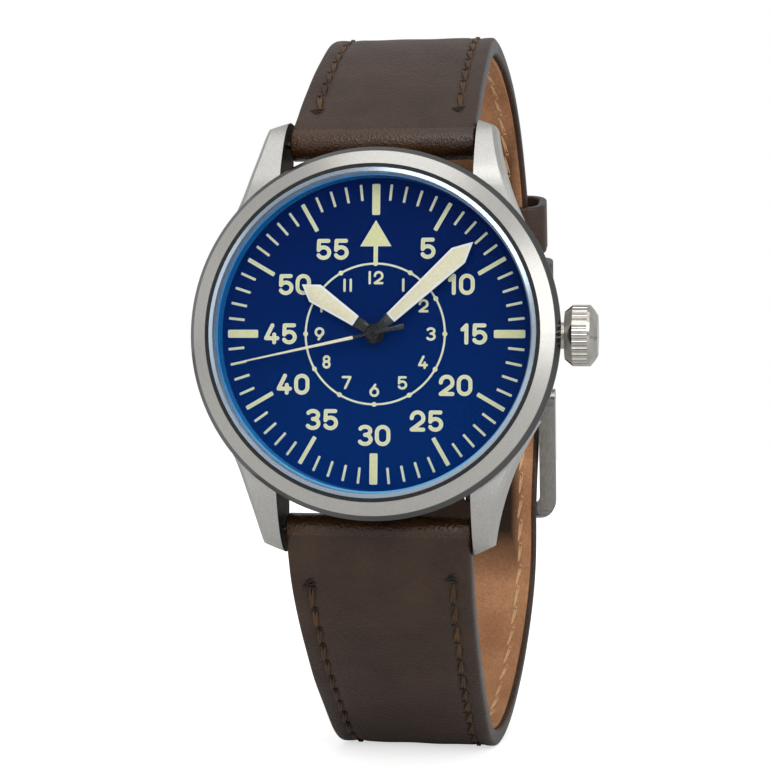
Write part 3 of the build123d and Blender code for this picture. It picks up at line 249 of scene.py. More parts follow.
satinSteel = caseSteel("satinSteel", {
    "dark": (176, 175, 171), "light": (202, 201, 197), "shade": (44, 46, 46), "grain": 7000, "depth": 0.005,
    "between": (11.03, 11.01), "beyond": (17.6, 17.8), "roughness": (0.34, 0.44)})
steelSet = {
    "backSteel": {"dark": (186, 185, 181), "light": (214, 213, 209), "roughness": (0.27, 0.38),
                  "stretch": (0.12, 1, 1), "grain": 5200, "depth": 0.006},
    "polishedSteel": {"dark": (176, 173, 167), "light": (200, 197, 191), "roughness": (0.05, 0.16),
                      "stretch": (1, 1, 1), "grain": 900, "depth": 0.001},
    "buckleSteel": {"dark": (150, 150, 147), "light": (180, 180, 176), "roughness": (0.15, 0.26),
                    "stretch": (1, 1, 0.1), "grain": 4200, "depth": 0.004},
    "nickelPlate": {"dark": (190, 186, 176), "light": (214, 210, 200), "roughness": (0.25, 0.36),
                    "stretch": (0.15, 1, 1), "grain": 3000, "depth": 0.006},
    "brassWheel": {"dark": (196, 156, 92), "light": (222, 184, 116), "roughness": (0.23, 0.34),
                   "stretch": (1, 1, 1), "grain": 2600, "depth": 0.004},
}
steels = {name: brushedSteel(name, spec) for name, spec in steelSet.items()}
bezelFinish = bezelSteel("bezelSteel", {
    "dark": (190, 188, 183), "light": (204, 202, 197), "bevel": (92, 93, 93),
    "edge": (20.36, 20.46), "roughness": (0.32, 0.12), "grain": 5200, "depth": 0.006})


# Dial side finishes

def plainFinish(name, spec):
    finish, tree, shader = newFinish(name)
    grain = noiseFrom(tree, objectPlace(tree), spec["grain"], 3)
    tone = rampFrom(tree, grain, [(0.35, toLinear(spec["dark"])), (0.65, toLinear(spec["light"]))])
    tree.links.new(tone, shader.inputs["Base Color"])
    roughFrom(tree, shader, grain, spec["roughness"])
    shader.inputs["Specular IOR Level"].default_value = spec["gloss"]
    shader.inputs["Coat Weight"].default_value = spec.get("coat", 0)
    bumpFrom(tree, shader, grain, spec["depth"])
    return finish


def navyDial(name, spec):
    # a deep lacquer with painted light: its colour is drawn a little lighter towards 6 o'clock
    finish, tree, shader = newFinish(name)
    place, parts = placeParts(tree)
    # painted light: the colour ramps from the top tone to the lighter bottom tone down the dial
    height = lengthSpan(tree, parts["Z"], spec["down"], 0, 1)
    tone = rampFrom(tree, height, [(0.1, toLinear(spec["top"])), (0.9, toLinear(spec["bottom"]))])
    tree.links.new(tone, shader.inputs["Base Color"])
    grain = noiseFrom(tree, place, spec["grain"], 2)
    roughFrom(tree, shader, grain, spec["roughness"])
    shader.inputs["Specular IOR Level"].default_value = spec["gloss"]
    bumpFrom(tree, shader, grain, spec["depth"])
    return finish


def crystalFinish(name, spec):
    # clear in the middle with a faint blue reflex, pale on the ground bevel
    finish, tree, shader = newFinish(name)
    tree.nodes.remove(shader)
    output = tree.nodes["Material Output"]
    clear = addNode(tree, "BsdfTransparent", Color=(*spec["clear"], 1))
    gloss = addNode(tree, "BsdfGlossy", Color=(*spec["sheen"], 1), Roughness=spec["roughness"])
    edge = addNode(tree, "BsdfGlossy", Color=(*toLinear(spec["bevel"]), 1), Roughness=spec["bevelRoughness"])
    fresnel = addNode(tree, "Fresnel", IOR=1.5)
    face = tree.nodes.new("ShaderNodeMixShader")
    both = tree.nodes.new("ShaderNodeMixShader")
    roughFrom(tree, gloss, noiseFrom(tree, objectPlace(tree), spec["grain"], 2), spec["smear"])
    tree.links.new(mathFrom(tree, "MULTIPLY", fresnel.outputs["Fac"], spec["reflex"]), face.inputs["Fac"])
    tree.links.new(clear.outputs["BSDF"], face.inputs[1])
    tree.links.new(gloss.outputs["BSDF"], face.inputs[2])
    ring = lengthSpan(tree, radiusFrom(tree), spec["edge"], 0, spec["paleness"])
    tree.links.new(ring, both.inputs["Fac"])
    tree.links.new(face.outputs["Shader"], both.inputs[1])
    tree.links.new(edge.outputs["BSDF"], both.inputs[2])
    tree.links.new(both.outputs["Shader"], output.inputs["Surface"])
    return finish


def flangeFinish(name, spec):
    # polished blue wall with painted reflection: its colour is drawn bright at the left, slate at the right
    # and sky blue towards 6 o'clock
    finish, tree, shader = newFinish(name)
    place, parts = placeParts(tree)
    across = lengthSpan(tree, parts["X"], spec["across"], 0, 1)
    down = lengthSpan(tree, parts["Z"], spec["down"], 0, 1)
    # painted reflection: the colour follows place across and down the flange
    sides = rampFrom(tree, across, [(0.45, toLinear(spec["left"])), (0.9, toLinear(spec["right"]))])
    tree.links.new(blendTo(tree, down, sides, spec["foot"]), shader.inputs["Base Color"])
    grain = noiseFrom(tree, place, spec["grain"], 2)
    roughFrom(tree, shader, grain, spec["roughness"])
    shader.inputs["Coat Weight"].default_value = spec["coat"]
    shader.inputs["Coat Roughness"].default_value = spec["coatRoughness"]
    shader.inputs["Coat IOR"].default_value = spec["coatDensity"]
    bumpFrom(tree, shader, grain, spec["depth"])
    return finish


plainSet = {
    "creamLume": {"dark": (222, 219, 156), "light": (230, 227, 172), "roughness": (0.71, 0.79),
                  "grain": 2600, "depth": 0.01, "gloss": 0.4},
    "whiteInk": {"dark": (232, 234, 224), "light": (240, 241, 234), "roughness": (0.56, 0.64),
                 "grain": 2600, "depth": 0.003, "gloss": 0.4},
    "handLume": {"dark": (232, 221, 182), "light": (240, 230, 196), "roughness": (0.66, 0.74),
                 "grain": 2600, "depth": 0.01, "gloss": 0.4},
    "handWhite": {"dark": (238, 236, 230), "light": (244, 242, 238), "roughness": (0.41, 0.49),
                  "grain": 1600, "depth": 0.002, "gloss": 0.4},
    "handBlack": {"dark": (14, 13, 12), "light": (28, 26, 24), "roughness": (0.22, 0.3),
                  "grain": 1800, "depth": 0.003, "gloss": 0.55},
    "blackRubber": {"dark": (26, 28, 28), "light": (40, 42, 42), "roughness": (0.31, 0.39),
                    "grain": 2400, "depth": 0.004, "gloss": 0.3},
    "rubyJewel": {"dark": (150, 12, 40), "light": (180, 24, 56), "roughness": (0.08, 0.16),
                  "grain": 900, "depth": 0.001, "gloss": 0.5, "coat": 0.4},
}
plains = {name: plainFinish(name, spec) for name, spec in plainSet.items()}
dialLacquer = navyDial("navyLacquer", {
    "top": (0, 27, 84), "bottom": (0, 42, 102), "down": (18, -18), "roughness": (0.42, 0.5),
    "grain": 9000, "depth": 0.003, "gloss": 0.03})
flangeBlue = flangeFinish("flangeBlue", {
    "left": (34, 136, 205), "right": (86, 106, 142), "foot": (84, 190, 248),
    "across": (-17, 17), "down": (-4, -15), "roughness": (0.1, 0.16), "grain": 500, "depth": 0.001, "coat": 1,
    "coatRoughness": 0.03, "coatDensity": 2.3})
crystalClear = crystalFinish("sapphire", {
    "clear": (0.97, 0.985, 1), "sheen": (0.7, 0.85, 1), "bevel": (196, 212, 228), "edge": (17.92, 17.96),
    "paleness": 0.6, "reflex": 0.05, "roughness": 0.02, "smear": (0.01, 0.03), "bevelRoughness": 0.2,
    "grain": 300})
print("metal and dial finishes ready")


# Leather finishes

leatherGrain = {"cloud": 160, "fleck": 3600, "fleckRoughness": 0.7,
                "tints": ((0.72, 0.72, 0.72), (1.2, 1.2, 1.2))}


def paintedShadeBehind(tree, spec):
    # painted shade: the lining's colour is darkened behind the case and kept full at its right edge, where it
    # is lit
    place, parts = placeParts(tree)
    across = lengthSpan(tree, parts["X"], spec["across"], 0, 1)
    along = lengthSpan(tree, mathFrom(tree, "ABSOLUTE", parts["Z"]), spec["along"], 0, 1)
    return spanFrom(tree, mathFrom(tree, "MAXIMUM", across, along), 0, 1, spec["least"], 1)


def leatherFinish(name, spec):
    finish, tree, shader = newFinish(name)
    place = objectPlace(tree)
    cloud = noiseFrom(tree, place, leatherGrain["cloud"], 4)
    fleck = noiseFrom(tree, place, leatherGrain["fleck"], 3, leatherGrain["fleckRoughness"])
    mix = tree.nodes.new("ShaderNodeMix")
    mix.data_type = "RGBA"
    mix.blend_type = "MULTIPLY"
    mix.inputs["Factor"].default_value = spec["fleck"]
    tree.links.new(tonesFrom(tree, cloud, spec), mix.inputs["A"])
    tree.links.new(rampFrom(tree, fleck, list(zip(grainSpan, leatherGrain["tints"]))), mix.inputs["B"])
    tone = mix.outputs["Result"]
    # painted shade: the lining's colour is scaled down behind the case
    if "shade" in spec:
        dim = tree.nodes.new("ShaderNodeVectorMath")
        dim.operation = "SCALE"
        tree.links.new(tone, dim.inputs[0])
        tree.links.new(paintedShadeBehind(tree, spec["shade"]), dim.inputs["Scale"])
        tone = dim.outputs["Vector"]
    tree.links.new(tone, shader.inputs["Base Color"])
    roughFrom(tree, shader, fleck, spec["roughness"])
    shader.inputs["Specular IOR Level"].default_value = spec["gloss"]
    cells = addNode(tree, "TexVoronoi", Scale=spec["pores"])
    tree.links.new(place, cells.inputs["Vector"])
    pores = bumpFrom(tree, shader, cells.outputs["Distance"], spec["poreDepth"])
    bumpFrom(tree, shader, fleck, spec["fleckDepth"], before=pores)
    return finish


leatherTones = {
    "brownLeather": {"dark": (54, 38, 28), "light": (68, 50, 39), "fleck": 0.8, "gloss": 0.3,
                     "roughness": (0.38, 0.52), "pores": 2400, "poreDepth": 0.07, "fleckDepth": 0.06},
    "waxedLeather": {"dark": (44, 25, 11), "light": (76, 49, 26), "fleck": 1.0, "gloss": 0.45,
                     "roughness": (0.14, 0.28), "pores": 3400, "poreDepth": 0.05, "fleckDepth": 0.05},
    "paintedEdge": {"dark": (34, 27, 24), "light": (50, 41, 37), "fleck": 0.4, "gloss": 0.4,
                    "roughness": (0.3, 0.44), "pores": 1500, "poreDepth": 0.02, "fleckDepth": 0.03},
    "tanLining": {"dark": (160, 110, 75), "light": (192, 141, 102), "fleck": 0.9, "gloss": 0.2,
                  "roughness": (0.66, 0.8), "pores": 1700, "poreDepth": 0.08, "fleckDepth": 0.08,
                  "shade": {"across": (10.0, 11.8), "along": (24.5, 32), "least": 0.05}},
    "brownThread": {"dark": (52, 34, 17), "light": (100, 70, 38), "fleck": 1.0, "gloss": 0.35,
                    "roughness": (0.44, 0.58), "pores": 5200, "poreDepth": 0.05, "fleckDepth": 0.05},
    "darkThread": {"dark": (22, 16, 11), "light": (44, 31, 21), "fleck": 0.8, "gloss": 0.3,
                   "roughness": (0.49, 0.63), "pores": 5200, "poreDepth": 0.05, "fleckDepth": 0.05},
    "tanThread": {"dark": (190, 146, 104), "light": (226, 190, 148), "fleck": 0.8, "gloss": 0.2,
                  "roughness": (0.59, 0.73), "pores": 5200, "poreDepth": 0.04, "fleckDepth": 0.04},
}
leathers = {name: leatherFinish(name, spec) for name, spec in leatherTones.items()}
print("leathers and threads ready")


# Pieces

sharpAngle = 38  # degrees; a flatter edge is shaded smooth
mergeGap = 0.0001  # vertices closer than this are one


def faceOutwards(bm):
    bmesh.ops.recalc_face_normals(bm, faces=bm.faces)


def roundOff(bm, geom, offset, segments, affect="EDGES"):
    bmesh.ops.bevel(bm, geom=geom, offset=offset, segments=segments, profile=0.5, affect=affect, material=-1)


def vertsOf(grown):
    return [item for item in grown if isinstance(item, bmesh.types.BMVert)]


def keepHeld(bm, held):
    # adds a finished small bmesh to the piece
    mesh = bpy.data.meshes.new("held")
    held.to_mesh(mesh)
    held.free()
    bm.from_mesh(mesh)
    bpy.data.meshes.remove(mesh)


def finishPiece(name, bm, finishes, body, nodes=(), smooth=True):
    mesh = bpy.data.meshes.new(name)
    bm.transform(toMetres)
    bm.to_mesh(mesh)
    bm.free()
    for finish in finishes:
        mesh.materials.append(finish)
    for face in mesh.polygons:
        face.use_smooth = smooth
    mesh.set_sharp_from_angle(angle=math.radians(sharpAngle))
    piece = bpy.data.objects.new(name, mesh)
    bpy.context.collection.objects.link(piece)
    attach(piece, body)
    if nodes:
        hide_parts(*nodes)
    return piece


# Strap routes as depth and height points, in millimetres, from each spring bar

upperRoute = {
    "points": [(-2.35, 22.35), (-0.01, 24.704), (4.28, 28.291), (12.794, 34.094), (20.582, 37.882),
               (26.918, 38.89), (33.584, 37.6), (40.184, 33.409), (45.992, 25.188), (50.612, 13.581),
               (53.12, 2.982), (54.308, -5.481)],
    "taperEnd": 91.11}
lowerRoute = {
    "points": [(-2.35, -22.35), (-1.198, -26.21), (2.168, -30.881), (6.326, -34.877), (12.2, -39.807),
               (21.506, -45.88), (29.294, -49.928), (35.3, -50.084), (43.814, -45.983), (51.074, -38.198),
               (55.298, -28.493), (55.575, -22.04), (56.528, -13.592), (57.48, -5.144), (55.844, 3.766),
               (53.824, 12.63), (50.88, 21.3)],
    "taperEnd": 86.77}
routeSteps = 60  # samples between two points
strapSet = {"rootWidth": 21.5, "endWidth": 19.5, "rootLeather": 2.5, "endLeather": 1.7, "lining": 0.7,
            "gap": 0.06, "lean": 4.3, "leanStart": 33.0, "leanPower": 1.3, "loopDepth": 66.0, "fold": 1.95,
            "tuck": 1.4, "blend": 4.4, "tipLeast": 0.03, "cell": 0.5}


def endSlope(times, places, at):
    return np.array([np.polyfit(times - at, places[:, axis], 3)[-2] for axis in range(2)])


def routeCurve(route):
    # the smooth line through the route's points, sampled finely with its length
    points = np.array(route["points"])
    times = np.concatenate([[0], np.cumsum(np.linalg.norm(np.diff(points, axis=0), axis=1))])
    steps = np.diff(times)
    count = len(points)
    system = np.eye(count)
    wanted = np.zeros((count, 2))
    wanted[0] = endSlope(times[:4], points[:4], times[0])
    wanted[-1] = endSlope(times[-4:], points[-4:], times[-1])
    for i in range(1, count - 1):
        system[i, i - 1:i + 2] = (steps[i], 2 * (steps[i - 1] + steps[i]), steps[i - 1])
        wanted[i] = 3 * (steps[i] * (points[i] - points[i - 1]) / steps[i - 1]
                         + steps[i - 1] * (points[i + 1] - points[i]) / steps[i])
    slopes = np.linalg.solve(system, wanted)
    fine = []
    for i in range(count - 1):
        for u in np.linspace(0, 1, routeSteps, endpoint=i == count - 2):
            fine.append((2 * u ** 3 - 3 * u ** 2 + 1) * points[i]
                        + (u ** 3 - 2 * u ** 2 + u) * steps[i] * slopes[i]
                        + (3 * u ** 2 - 2 * u ** 3) * points[i + 1]
                        + (u ** 3 - u ** 2) * steps[i] * slopes[i + 1])
    fine = np.array(fine)
    along = np.gradient(fine, axis=0)
    along /= np.linalg.norm(along, axis=1)[:, None]
    reach = np.concatenate([[0], np.cumsum(np.linalg.norm(np.diff(fine, axis=0), axis=1))])
    return {"length": reach, "place": fine, "along": along, "taperEnd": route["taperEnd"]}


def onRoute(curve, station, side):
    # depth, height and outward direction at a length along the route
    place = [float(np.interp(station, curve["length"], curve["place"][:, axis])) for axis in range(2)]
    along = [float(np.interp(station, curve["length"], curve["along"][:, axis])) for axis in range(2)]
    beyond = station - min(max(station, 0), curve["length"][-1])
    place = [place[axis] + along[axis] * beyond for axis in range(2)]
    out = (-along[1] * side, along[0] * side)
    return place, along, out


def leanOf(depth):
    # the loop leans sideways more and more below the dial
    start = strapSet["leanStart"]
    share = max(0.0, (depth - dialFront - start) / (strapSet["loopDepth"] - start))
    return strapSet["lean"] * share ** strapSet["leanPower"]


def bendAlong(bm, curve, side):
    # flat x is across the strap, y along it, z outward from its middle layer
    for vert in bm.verts:
        place, along, out = onRoute(curve, vert.co.y, side)
        shift = vert.co.z
        vert.co = Vector((vert.co.x + leanOf(place[0]), place[0] + out[0] * shift, place[1] + out[1] * shift))
    faceOutwards(bm)


def smoothStep(value):
    share = min(1.0, max(0.0, value))
    return share * share * (3 - 2 * share)


def taperAt(station, taperEnd, root, end):
    return root + (end - root) * min(1.0, station / taperEnd)


def halfWidthAt(station, spec):
    half = taperAt(station, spec["curve"]["taperEnd"], strapSet["rootWidth"], strapSet["endWidth"]) / 2
    if spec["tip"] and station > spec["end"] - spec["tip"]:
        left = (spec["end"] - station) / spec["tip"]
        half *= math.sqrt(max(strapSet["tipLeast"], 1 - (1 - left) ** 2))
    return half


def layersAt(station, spec):
    # bottom, joint and top of the strap's layers from its middle line
    leather = taperAt(station, spec["curve"]["taperEnd"], strapSet["rootLeather"], strapSet["endLeather"])
    whole = leather + strapSet["gap"] + strapSet["lining"]
    joint = -whole / 2 + strapSet["lining"] + strapSet["gap"]
    top = whole / 2
    if station < strapSet["blend"]:
        top += (strapSet["fold"] - top) * (1 - smoothStep(station / strapSet["blend"]))
    if station < strapSet["fold"]:
        joint = max(joint, math.sqrt(max(0.0, strapSet["tuck"] ** 2 - station ** 2)))
    return -whole / 2, joint, top


# Stitches: each is two plies of thread side by side, with a crossing where it meets the next

stitchSet = {"inset": 2.3, "pitch": 3.35, "length": 3.0, "lengths": (0.97, 1.05), "thread": 0.76,
             "innerShare": 0.7, "level": -0.12, "innerLevel": 0.07, "slant": 8, "wander": 3, "rowStep": 0.4,
             "tipSteps": 60,
             "ply": {"shift": 0.15, "turn": 0.05, "width": 0.56, "height": 0.7},
             "cross": {"turns": ((0.9, 1.2), (2.2, 0.9)), "drop": 0.04, "width": 0.3, "height": 0.5},
             "tack": {"steps": (0.0, 0.4, 0.8), "length": 2.1, "turn": 0.2, "level": 0.1, "width": 0.44,
                      "height": 0.6}}


def rowPoints(spec):
    # the stitch line in the flat: up one edge, round the tip if there is one, and down the other
    inset = stitchSet["inset"]
    last = spec["end"] - spec["tip"] if spec["tip"] else spec["rowEnd"]
    stations = np.arange(spec["rowStart"], last, stitchSet["rowStep"])
    edge = [(halfWidthAt(u, spec) - inset, u) for u in stations]
    if not spec["tip"]:
        return [edge, [(-x, u) for x, u in edge]]
    half = halfWidthAt(last, spec) - inset
    reach = spec["tip"] - inset
    turns = np.linspace(0, math.pi, stitchSet["tipSteps"])
    arc = [(half * math.cos(turn), last + reach * math.sin(turn)) for turn in turns]
    return [edge + arc + [(-x, u) for x, u in reversed(edge)]]


def stitchPlaces(points, pitch):
    points = np.array(points)
    reach = np.concatenate([[0], np.cumsum(np.linalg.norm(np.diff(points, axis=0), axis=1))])
    places = []
    for length in np.arange(pitch / 2, reach[-1], pitch):
        spot = [np.interp(length, reach, points[:, axis]) for axis in range(2)]
        ahead = [np.interp(length + 0.3, reach, points[:, axis]) for axis in range(2)]
        places.append((spot[0], spot[1], math.atan2(ahead[1] - spot[1], ahead[0] - spot[0])))
    return places


# Holes and layers of the strap

def slotDistance(x, station, hole):
    along = max(0.0, abs(station - hole["at"]) - (hole["length"] / 2 - hole["radius"]))
    return math.hypot(x, along)


holeSet = {"middle": 101.835, "pitch": 6.4, "places": (-4, -3, -2, -1, 1, 2), "length": 2.0, "radius": 1.0,
           "tangLength": 4.95, "tangRadius": 1.1, "cutShare": 0.86, "rimShare": 1.7}


def punchHoles(bm, holes):
    # takes out the cells inside each hole and draws its rim onto the true outline
    for hole in holes:
        inside = []
        for face in bm.faces:
            middle = face.calc_center_median()
            if slotDistance(middle.x, middle.y, hole) < holeSet["cutShare"] * hole["radius"]:
                inside.append(face)
        bmesh.ops.delete(bm, geom=inside, context="FACES")
        stretch = max(0.0, hole["length"] / 2 - hole["radius"])
        for vert in bm.verts:
            near = slotDistance(vert.co.x, vert.co.y, hole) < holeSet["rimShare"] * hole["radius"]
            if vert.is_boundary and near:
                middle = Vector((0, min(max(vert.co.y, hole["at"] - stretch), hole["at"] + stretch), 0))
                arm = Vector((vert.co.x, vert.co.y, 0)) - middle
                vert.co = middle + arm.normalized() * hole["radius"]


def flatLayer(spec, columns):
    # one layer of the strap in the flat, a unit thick, with its holes and slot
    bm = bmesh.new()
    half = strapSet["rootWidth"] / 2
    length = spec["end"] - spec["start"]
    bmesh.ops.create_grid(bm, x_segments=columns, y_segments=round(length / strapSet["cell"]), size=1)
    bmesh.ops.scale(bm, vec=(half, length / 2, 1), verts=bm.verts)
    bmesh.ops.translate(bm, vec=(0, spec["start"] + length / 2, 0), verts=bm.verts)
    punchHoles(bm, spec["holes"])
    slot = [face for face in bm.faces if abs(face.calc_center_median().x) < spec["slotHalf"]
            and face.calc_center_median().y > spec["slotStart"]]
    if slot:
        bmesh.ops.delete(bm, geom=slot, context="FACES")
    bmesh.ops.solidify(bm, geom=bm.faces[:], thickness=1)
    low = min(vert.co.z for vert in bm.verts)
    bmesh.ops.translate(bm, vec=(0, 0, -low), verts=bm.verts)
    faceOutwards(bm)
    for face in bm.faces:
        face.material_index = 1 if abs(face.normal.z) < 0.5 else 0
    return bm


leatherSet = {"columns": 48, "rim": 0.28, "waxedEnd": 0.4, "dip": 0.3, "dipWidth": 0.62,
              "dipShares": (0.55, 0.45), "fall": 0.34, "fallReach": 1.6, "wave": 0.05,
              "waves": (0.41, 0.9, 0.23), "slack": 0.01}


def onRim(edge, spec):
    # a long edge at the side, the root or the end of the flat layer
    place, other = (vert.co for vert in edge.verts)
    slack = leatherSet["slack"]
    side = abs(place.x) > strapSet["rootWidth"] / 2 - slack
    end = place.y < spec["start"] + slack or place.y > spec["end"] - slack
    return edge.calc_face_angle(0) > 1 and abs(place.z - other.z) < 0.5 and (side or end)


def edgeDrop(x, half):
    # how far the surface falls at the skived edge
    fall = leatherSet["fall"]
    gap = max(0.0, half - abs(x))
    return fall * max(0.0, 1 - gap / (leatherSet["fallReach"] * fall)) ** 2


def surfaceDip(x, station, half, away):
    # the leather dips along the stitches, most where the thread goes in, and is a little uneven
    pull = 0.5 + 0.5 * math.cos(2 * math.pi * station / stitchSet["pitch"])
    least, more = leatherSet["dipShares"]
    slow, across, slower = leatherSet["waves"]
    groove = leatherSet["dip"] * math.exp(-(away / leatherSet["dipWidth"]) ** 2) * (least + more * pull)
    wave = leatherSet["wave"] * math.sin(slow * station + across * x) * math.sin(slower * station)
    return groove + edgeDrop(x, half) + wave


def makeLeather(name, spec, node, finishes):
    bm = flatLayer(spec, leatherSet["columns"])
    rim = [edge for edge in bm.edges if onRim(edge, spec)]
    roundOff(bm, rim, leatherSet["rim"], 3)
    for face in bm.faces:
        if face.calc_center_median().y < leatherSet["waxedEnd"]:
            face.material_index = 2
    stitchLine = np.array([point for row in rowPoints(spec) for point in row])
    for vert in bm.verts:
        x, station, share = vert.co
        half = halfWidthAt(station, spec)
        bottom, joint, top = layersAt(station, spec)
        x *= half / (strapSet["rootWidth"] / 2)
        dip = 0.0
        if share > 0.6:
            away = float(np.min(np.hypot(stitchLine[:, 0] - x, stitchLine[:, 1] - station)))
            dip = surfaceDip(x, station, half, away)
        vert.co = Vector((x, station, joint + share * (top - joint) - dip))
    bendAlong(bm, spec["curve"], spec["side"])
    return finishPiece(name, bm, finishes, "case", [node])


liningSet = {"columns": 24, "inset": 0.7, "holeMargin": 1.5, "noHole": 9, "wave": 0.03, "waves": 0.6,
             "start": 2.6, "endGap": 2.4}


def makeLining(name, spec, node, finish):
    bm = flatLayer(spec, liningSet["columns"])
    for vert in bm.verts:
        x, station, share = vert.co
        bottom, joint, top = layersAt(station, spec)
        narrow = max(0.0, halfWidthAt(station, spec) - liningSet["inset"]) / (strapSet["rootWidth"] / 2)
        gaps = [slotDistance(x, station, hole) - hole["radius"] for hole in spec["holes"]]
        if min(gaps, default=liningSet["noHole"]) >= liningSet["holeMargin"]:
            x *= narrow
        wave = liningSet["wave"] * math.sin(liningSet["waves"] * station + x)
        vert.co = Vector((x, station, bottom + share * strapSet["lining"] + wave))
    bendAlong(bm, spec["curve"], spec["side"])
    return finishPiece(name, bm, [finish], "case", [node])


def addBead(bm, place, length, width, height, finish=0):
    shape = Matrix.Diagonal((length / 2, width / 2, height / 2, 1)) @ Matrix.Rotation(math.pi / 2, 4, "Y")
    made = bmesh.ops.create_uvsphere(bm, u_segments=8, v_segments=6, radius=1, matrix=place @ shape)["verts"]
    for face in {face for vert in made for face in vert.link_faces}:
        face.material_index = finish


def addStitch(bm, place, size, last):
    ply, cross = stitchSet["ply"], stitchSet["cross"]
    for side in (-1, 1):
        lay = Matrix.Translation((0, side * size * ply["shift"], 0))
        lay = lay @ Matrix.Rotation(side * ply["turn"], 4, "Z")
        length = stitchSet["length"] * random.uniform(*stitchSet["lengths"])
        addBead(bm, place @ lay, length, size * ply["width"], size * ply["height"])
    for turn, reach in cross["turns"]:
        lay = Matrix.Translation((stitchSet["pitch"] / 2, 0, -cross["drop"]))
        lay = lay @ Matrix.Rotation(turn, 4, "Z")
        addBead(bm, place @ lay, size * reach, size * cross["width"], size * cross["height"], last)


def addTack(bm, x, station, level, size, last):
    # the row ends in a few turns of thread laid side by side
    tack = stitchSet["tack"]
    for step in tack["steps"]:
        place = Matrix.Translation((x, station - stitchSet["pitch"] / 2 - step, level - tack["level"]))
        place = place @ Matrix.Rotation(tack["turn"] - step, 4, "Z")
        addBead(bm, place, tack["length"] - step, size * tack["width"], size * tack["height"], last)


def makeStitches(name, spec, finishes, inner):
    bm = bmesh.new()
    size = stitchSet["thread"] * (stitchSet["innerShare"] if inner else 1)
    lean = -stitchSet["slant"] if inner else stitchSet["slant"]
    last = len(finishes) - 1
    for row in rowPoints(spec):
        places = stitchPlaces(row, stitchSet["pitch"])
        for x, station, angle in places:
            bottom, joint, top = layersAt(station, spec)
            level = bottom + stitchSet["innerLevel"] if inner else top + stitchSet["level"]
            slant = math.radians(random.uniform(-stitchSet["wander"], stitchSet["wander"]) + lean)
            place = Matrix.Translation((x, station, level)) @ Matrix.Rotation(angle + slant, 4, "Z")
            addStitch(bm, place, size, last)
        ends = [places[0], places[-1]] if spec["tip"] else [places[0]]
        for x, station, angle in [] if inner else ends:
            addTack(bm, x, station, layersAt(station, spec)[2], size, last)
    bendAlong(bm, spec["curve"], spec["side"])
    return finishPiece(name, bm, finishes, "case")


def spunTube(bm, x0, x1, inner, outer, middle, corner):
    # a turned sleeve round a bar that lies along x
    ring = bmesh.new()
    bmesh.ops.create_grid(ring, x_segments=1, y_segments=1, size=0.5)
    bmesh.ops.scale(ring, vec=(x1 - x0, outer - inner, 1), verts=ring.verts)
    roundOff(ring, ring.verts[:], corner, 4, "VERTICES")
    bmesh.ops.delete(ring, geom=ring.faces[:], context="FACES_ONLY")
    bmesh.ops.translate(ring, vec=((x0 + x1) / 2, (inner + outer) / 2, 0), verts=ring.verts)
    bmesh.ops.spin(ring, geom=ring.verts[:] + ring.edges[:], cent=(0, 0, 0), axis=(1, 0, 0),
                   angle=2 * math.pi, steps=48, use_merge=True)
    bmesh.ops.remove_doubles(ring, verts=ring.verts, dist=mergeGap)
    faceOutwards(ring)
    bmesh.ops.translate(ring, vec=middle, verts=ring.verts)
    keepHeld(bm, ring)


upperCurve = routeCurve(upperRoute)
lowerCurve = routeCurve(lowerRoute)
upperEnd = upperCurve["length"][-1]
lowerEnd = lowerCurve["length"][-1]
roundHoles = [{"at": holeSet["middle"] + place * holeSet["pitch"], "length": holeSet["length"],
               "radius": holeSet["radius"]} for place in holeSet["places"]]
tangHole = {"at": holeSet["middle"], "length": holeSet["tangLength"], "radius": holeSet["tangRadius"]}
upperStrap = {"curve": upperCurve, "side": 1, "start": 0.05, "end": upperEnd - 0.9, "tip": 0, "holes": [],
              "slotHalf": 1.4, "slotStart": upperEnd - 1.75, "rowStart": 4.8, "rowEnd": upperEnd - 12}
lowerStrap = {"curve": lowerCurve, "side": -1, "start": 0.05, "end": lowerEnd, "tip": 9.0,
              "holes": roundHoles + [tangHole], "slotHalf": 0, "slotStart": lowerEnd, "rowStart": 5.2,
              "rowEnd": lowerEnd}

strapFinishes = [leathers[name] for name in ("brownLeather", "paintedEdge", "waxedLeather")]
threads = [leathers[name] for name in ("brownThread", "darkThread")]
makeLeather("upperStrap", upperStrap, "strap_12_leather", strapFinishes)
makeLeather("lowerStrap", lowerStrap, "strap_6_leather", strapFinishes)
upperStrap["start"] = lowerStrap["start"] = liningSet["start"]
upperStrap["end"] = upperEnd - liningSet["endGap"]
makeLining("upperLining", upperStrap, "strap_12_lining", leathers["tanLining"])
makeLining("lowerLining", lowerStrap, "strap_6_lining", leathers["tanLining"])
makeStitches("upperStitches", upperStrap, threads, False)
makeStitches("lowerStitches", lowerStrap, threads, False)
makeStitches("upperInnerStitches", upperStrap, [leathers["tanThread"]], True)
makeStitches("lowerInnerStitches", lowerStrap, [leathers["tanThread"]], True)
print("strap halves sewn")


# Leather folded round the spring bars and the buckle's bar

foldSet = {"outer": 1.94, "inner": 0.96, "buckleOuter": 1.6, "buckleInner": 0.8, "corner": 0.32,
           "slotHalf": 1.1}


def makeFold(name, spans, inner, outer, middle, finish):
    bm = bmesh.new()
    for x0, x1 in spans:
        spunTube(bm, x0, x1, inner, outer, middle, foldSet["corner"])
    return finishPiece(name, bm, [finish], "case")


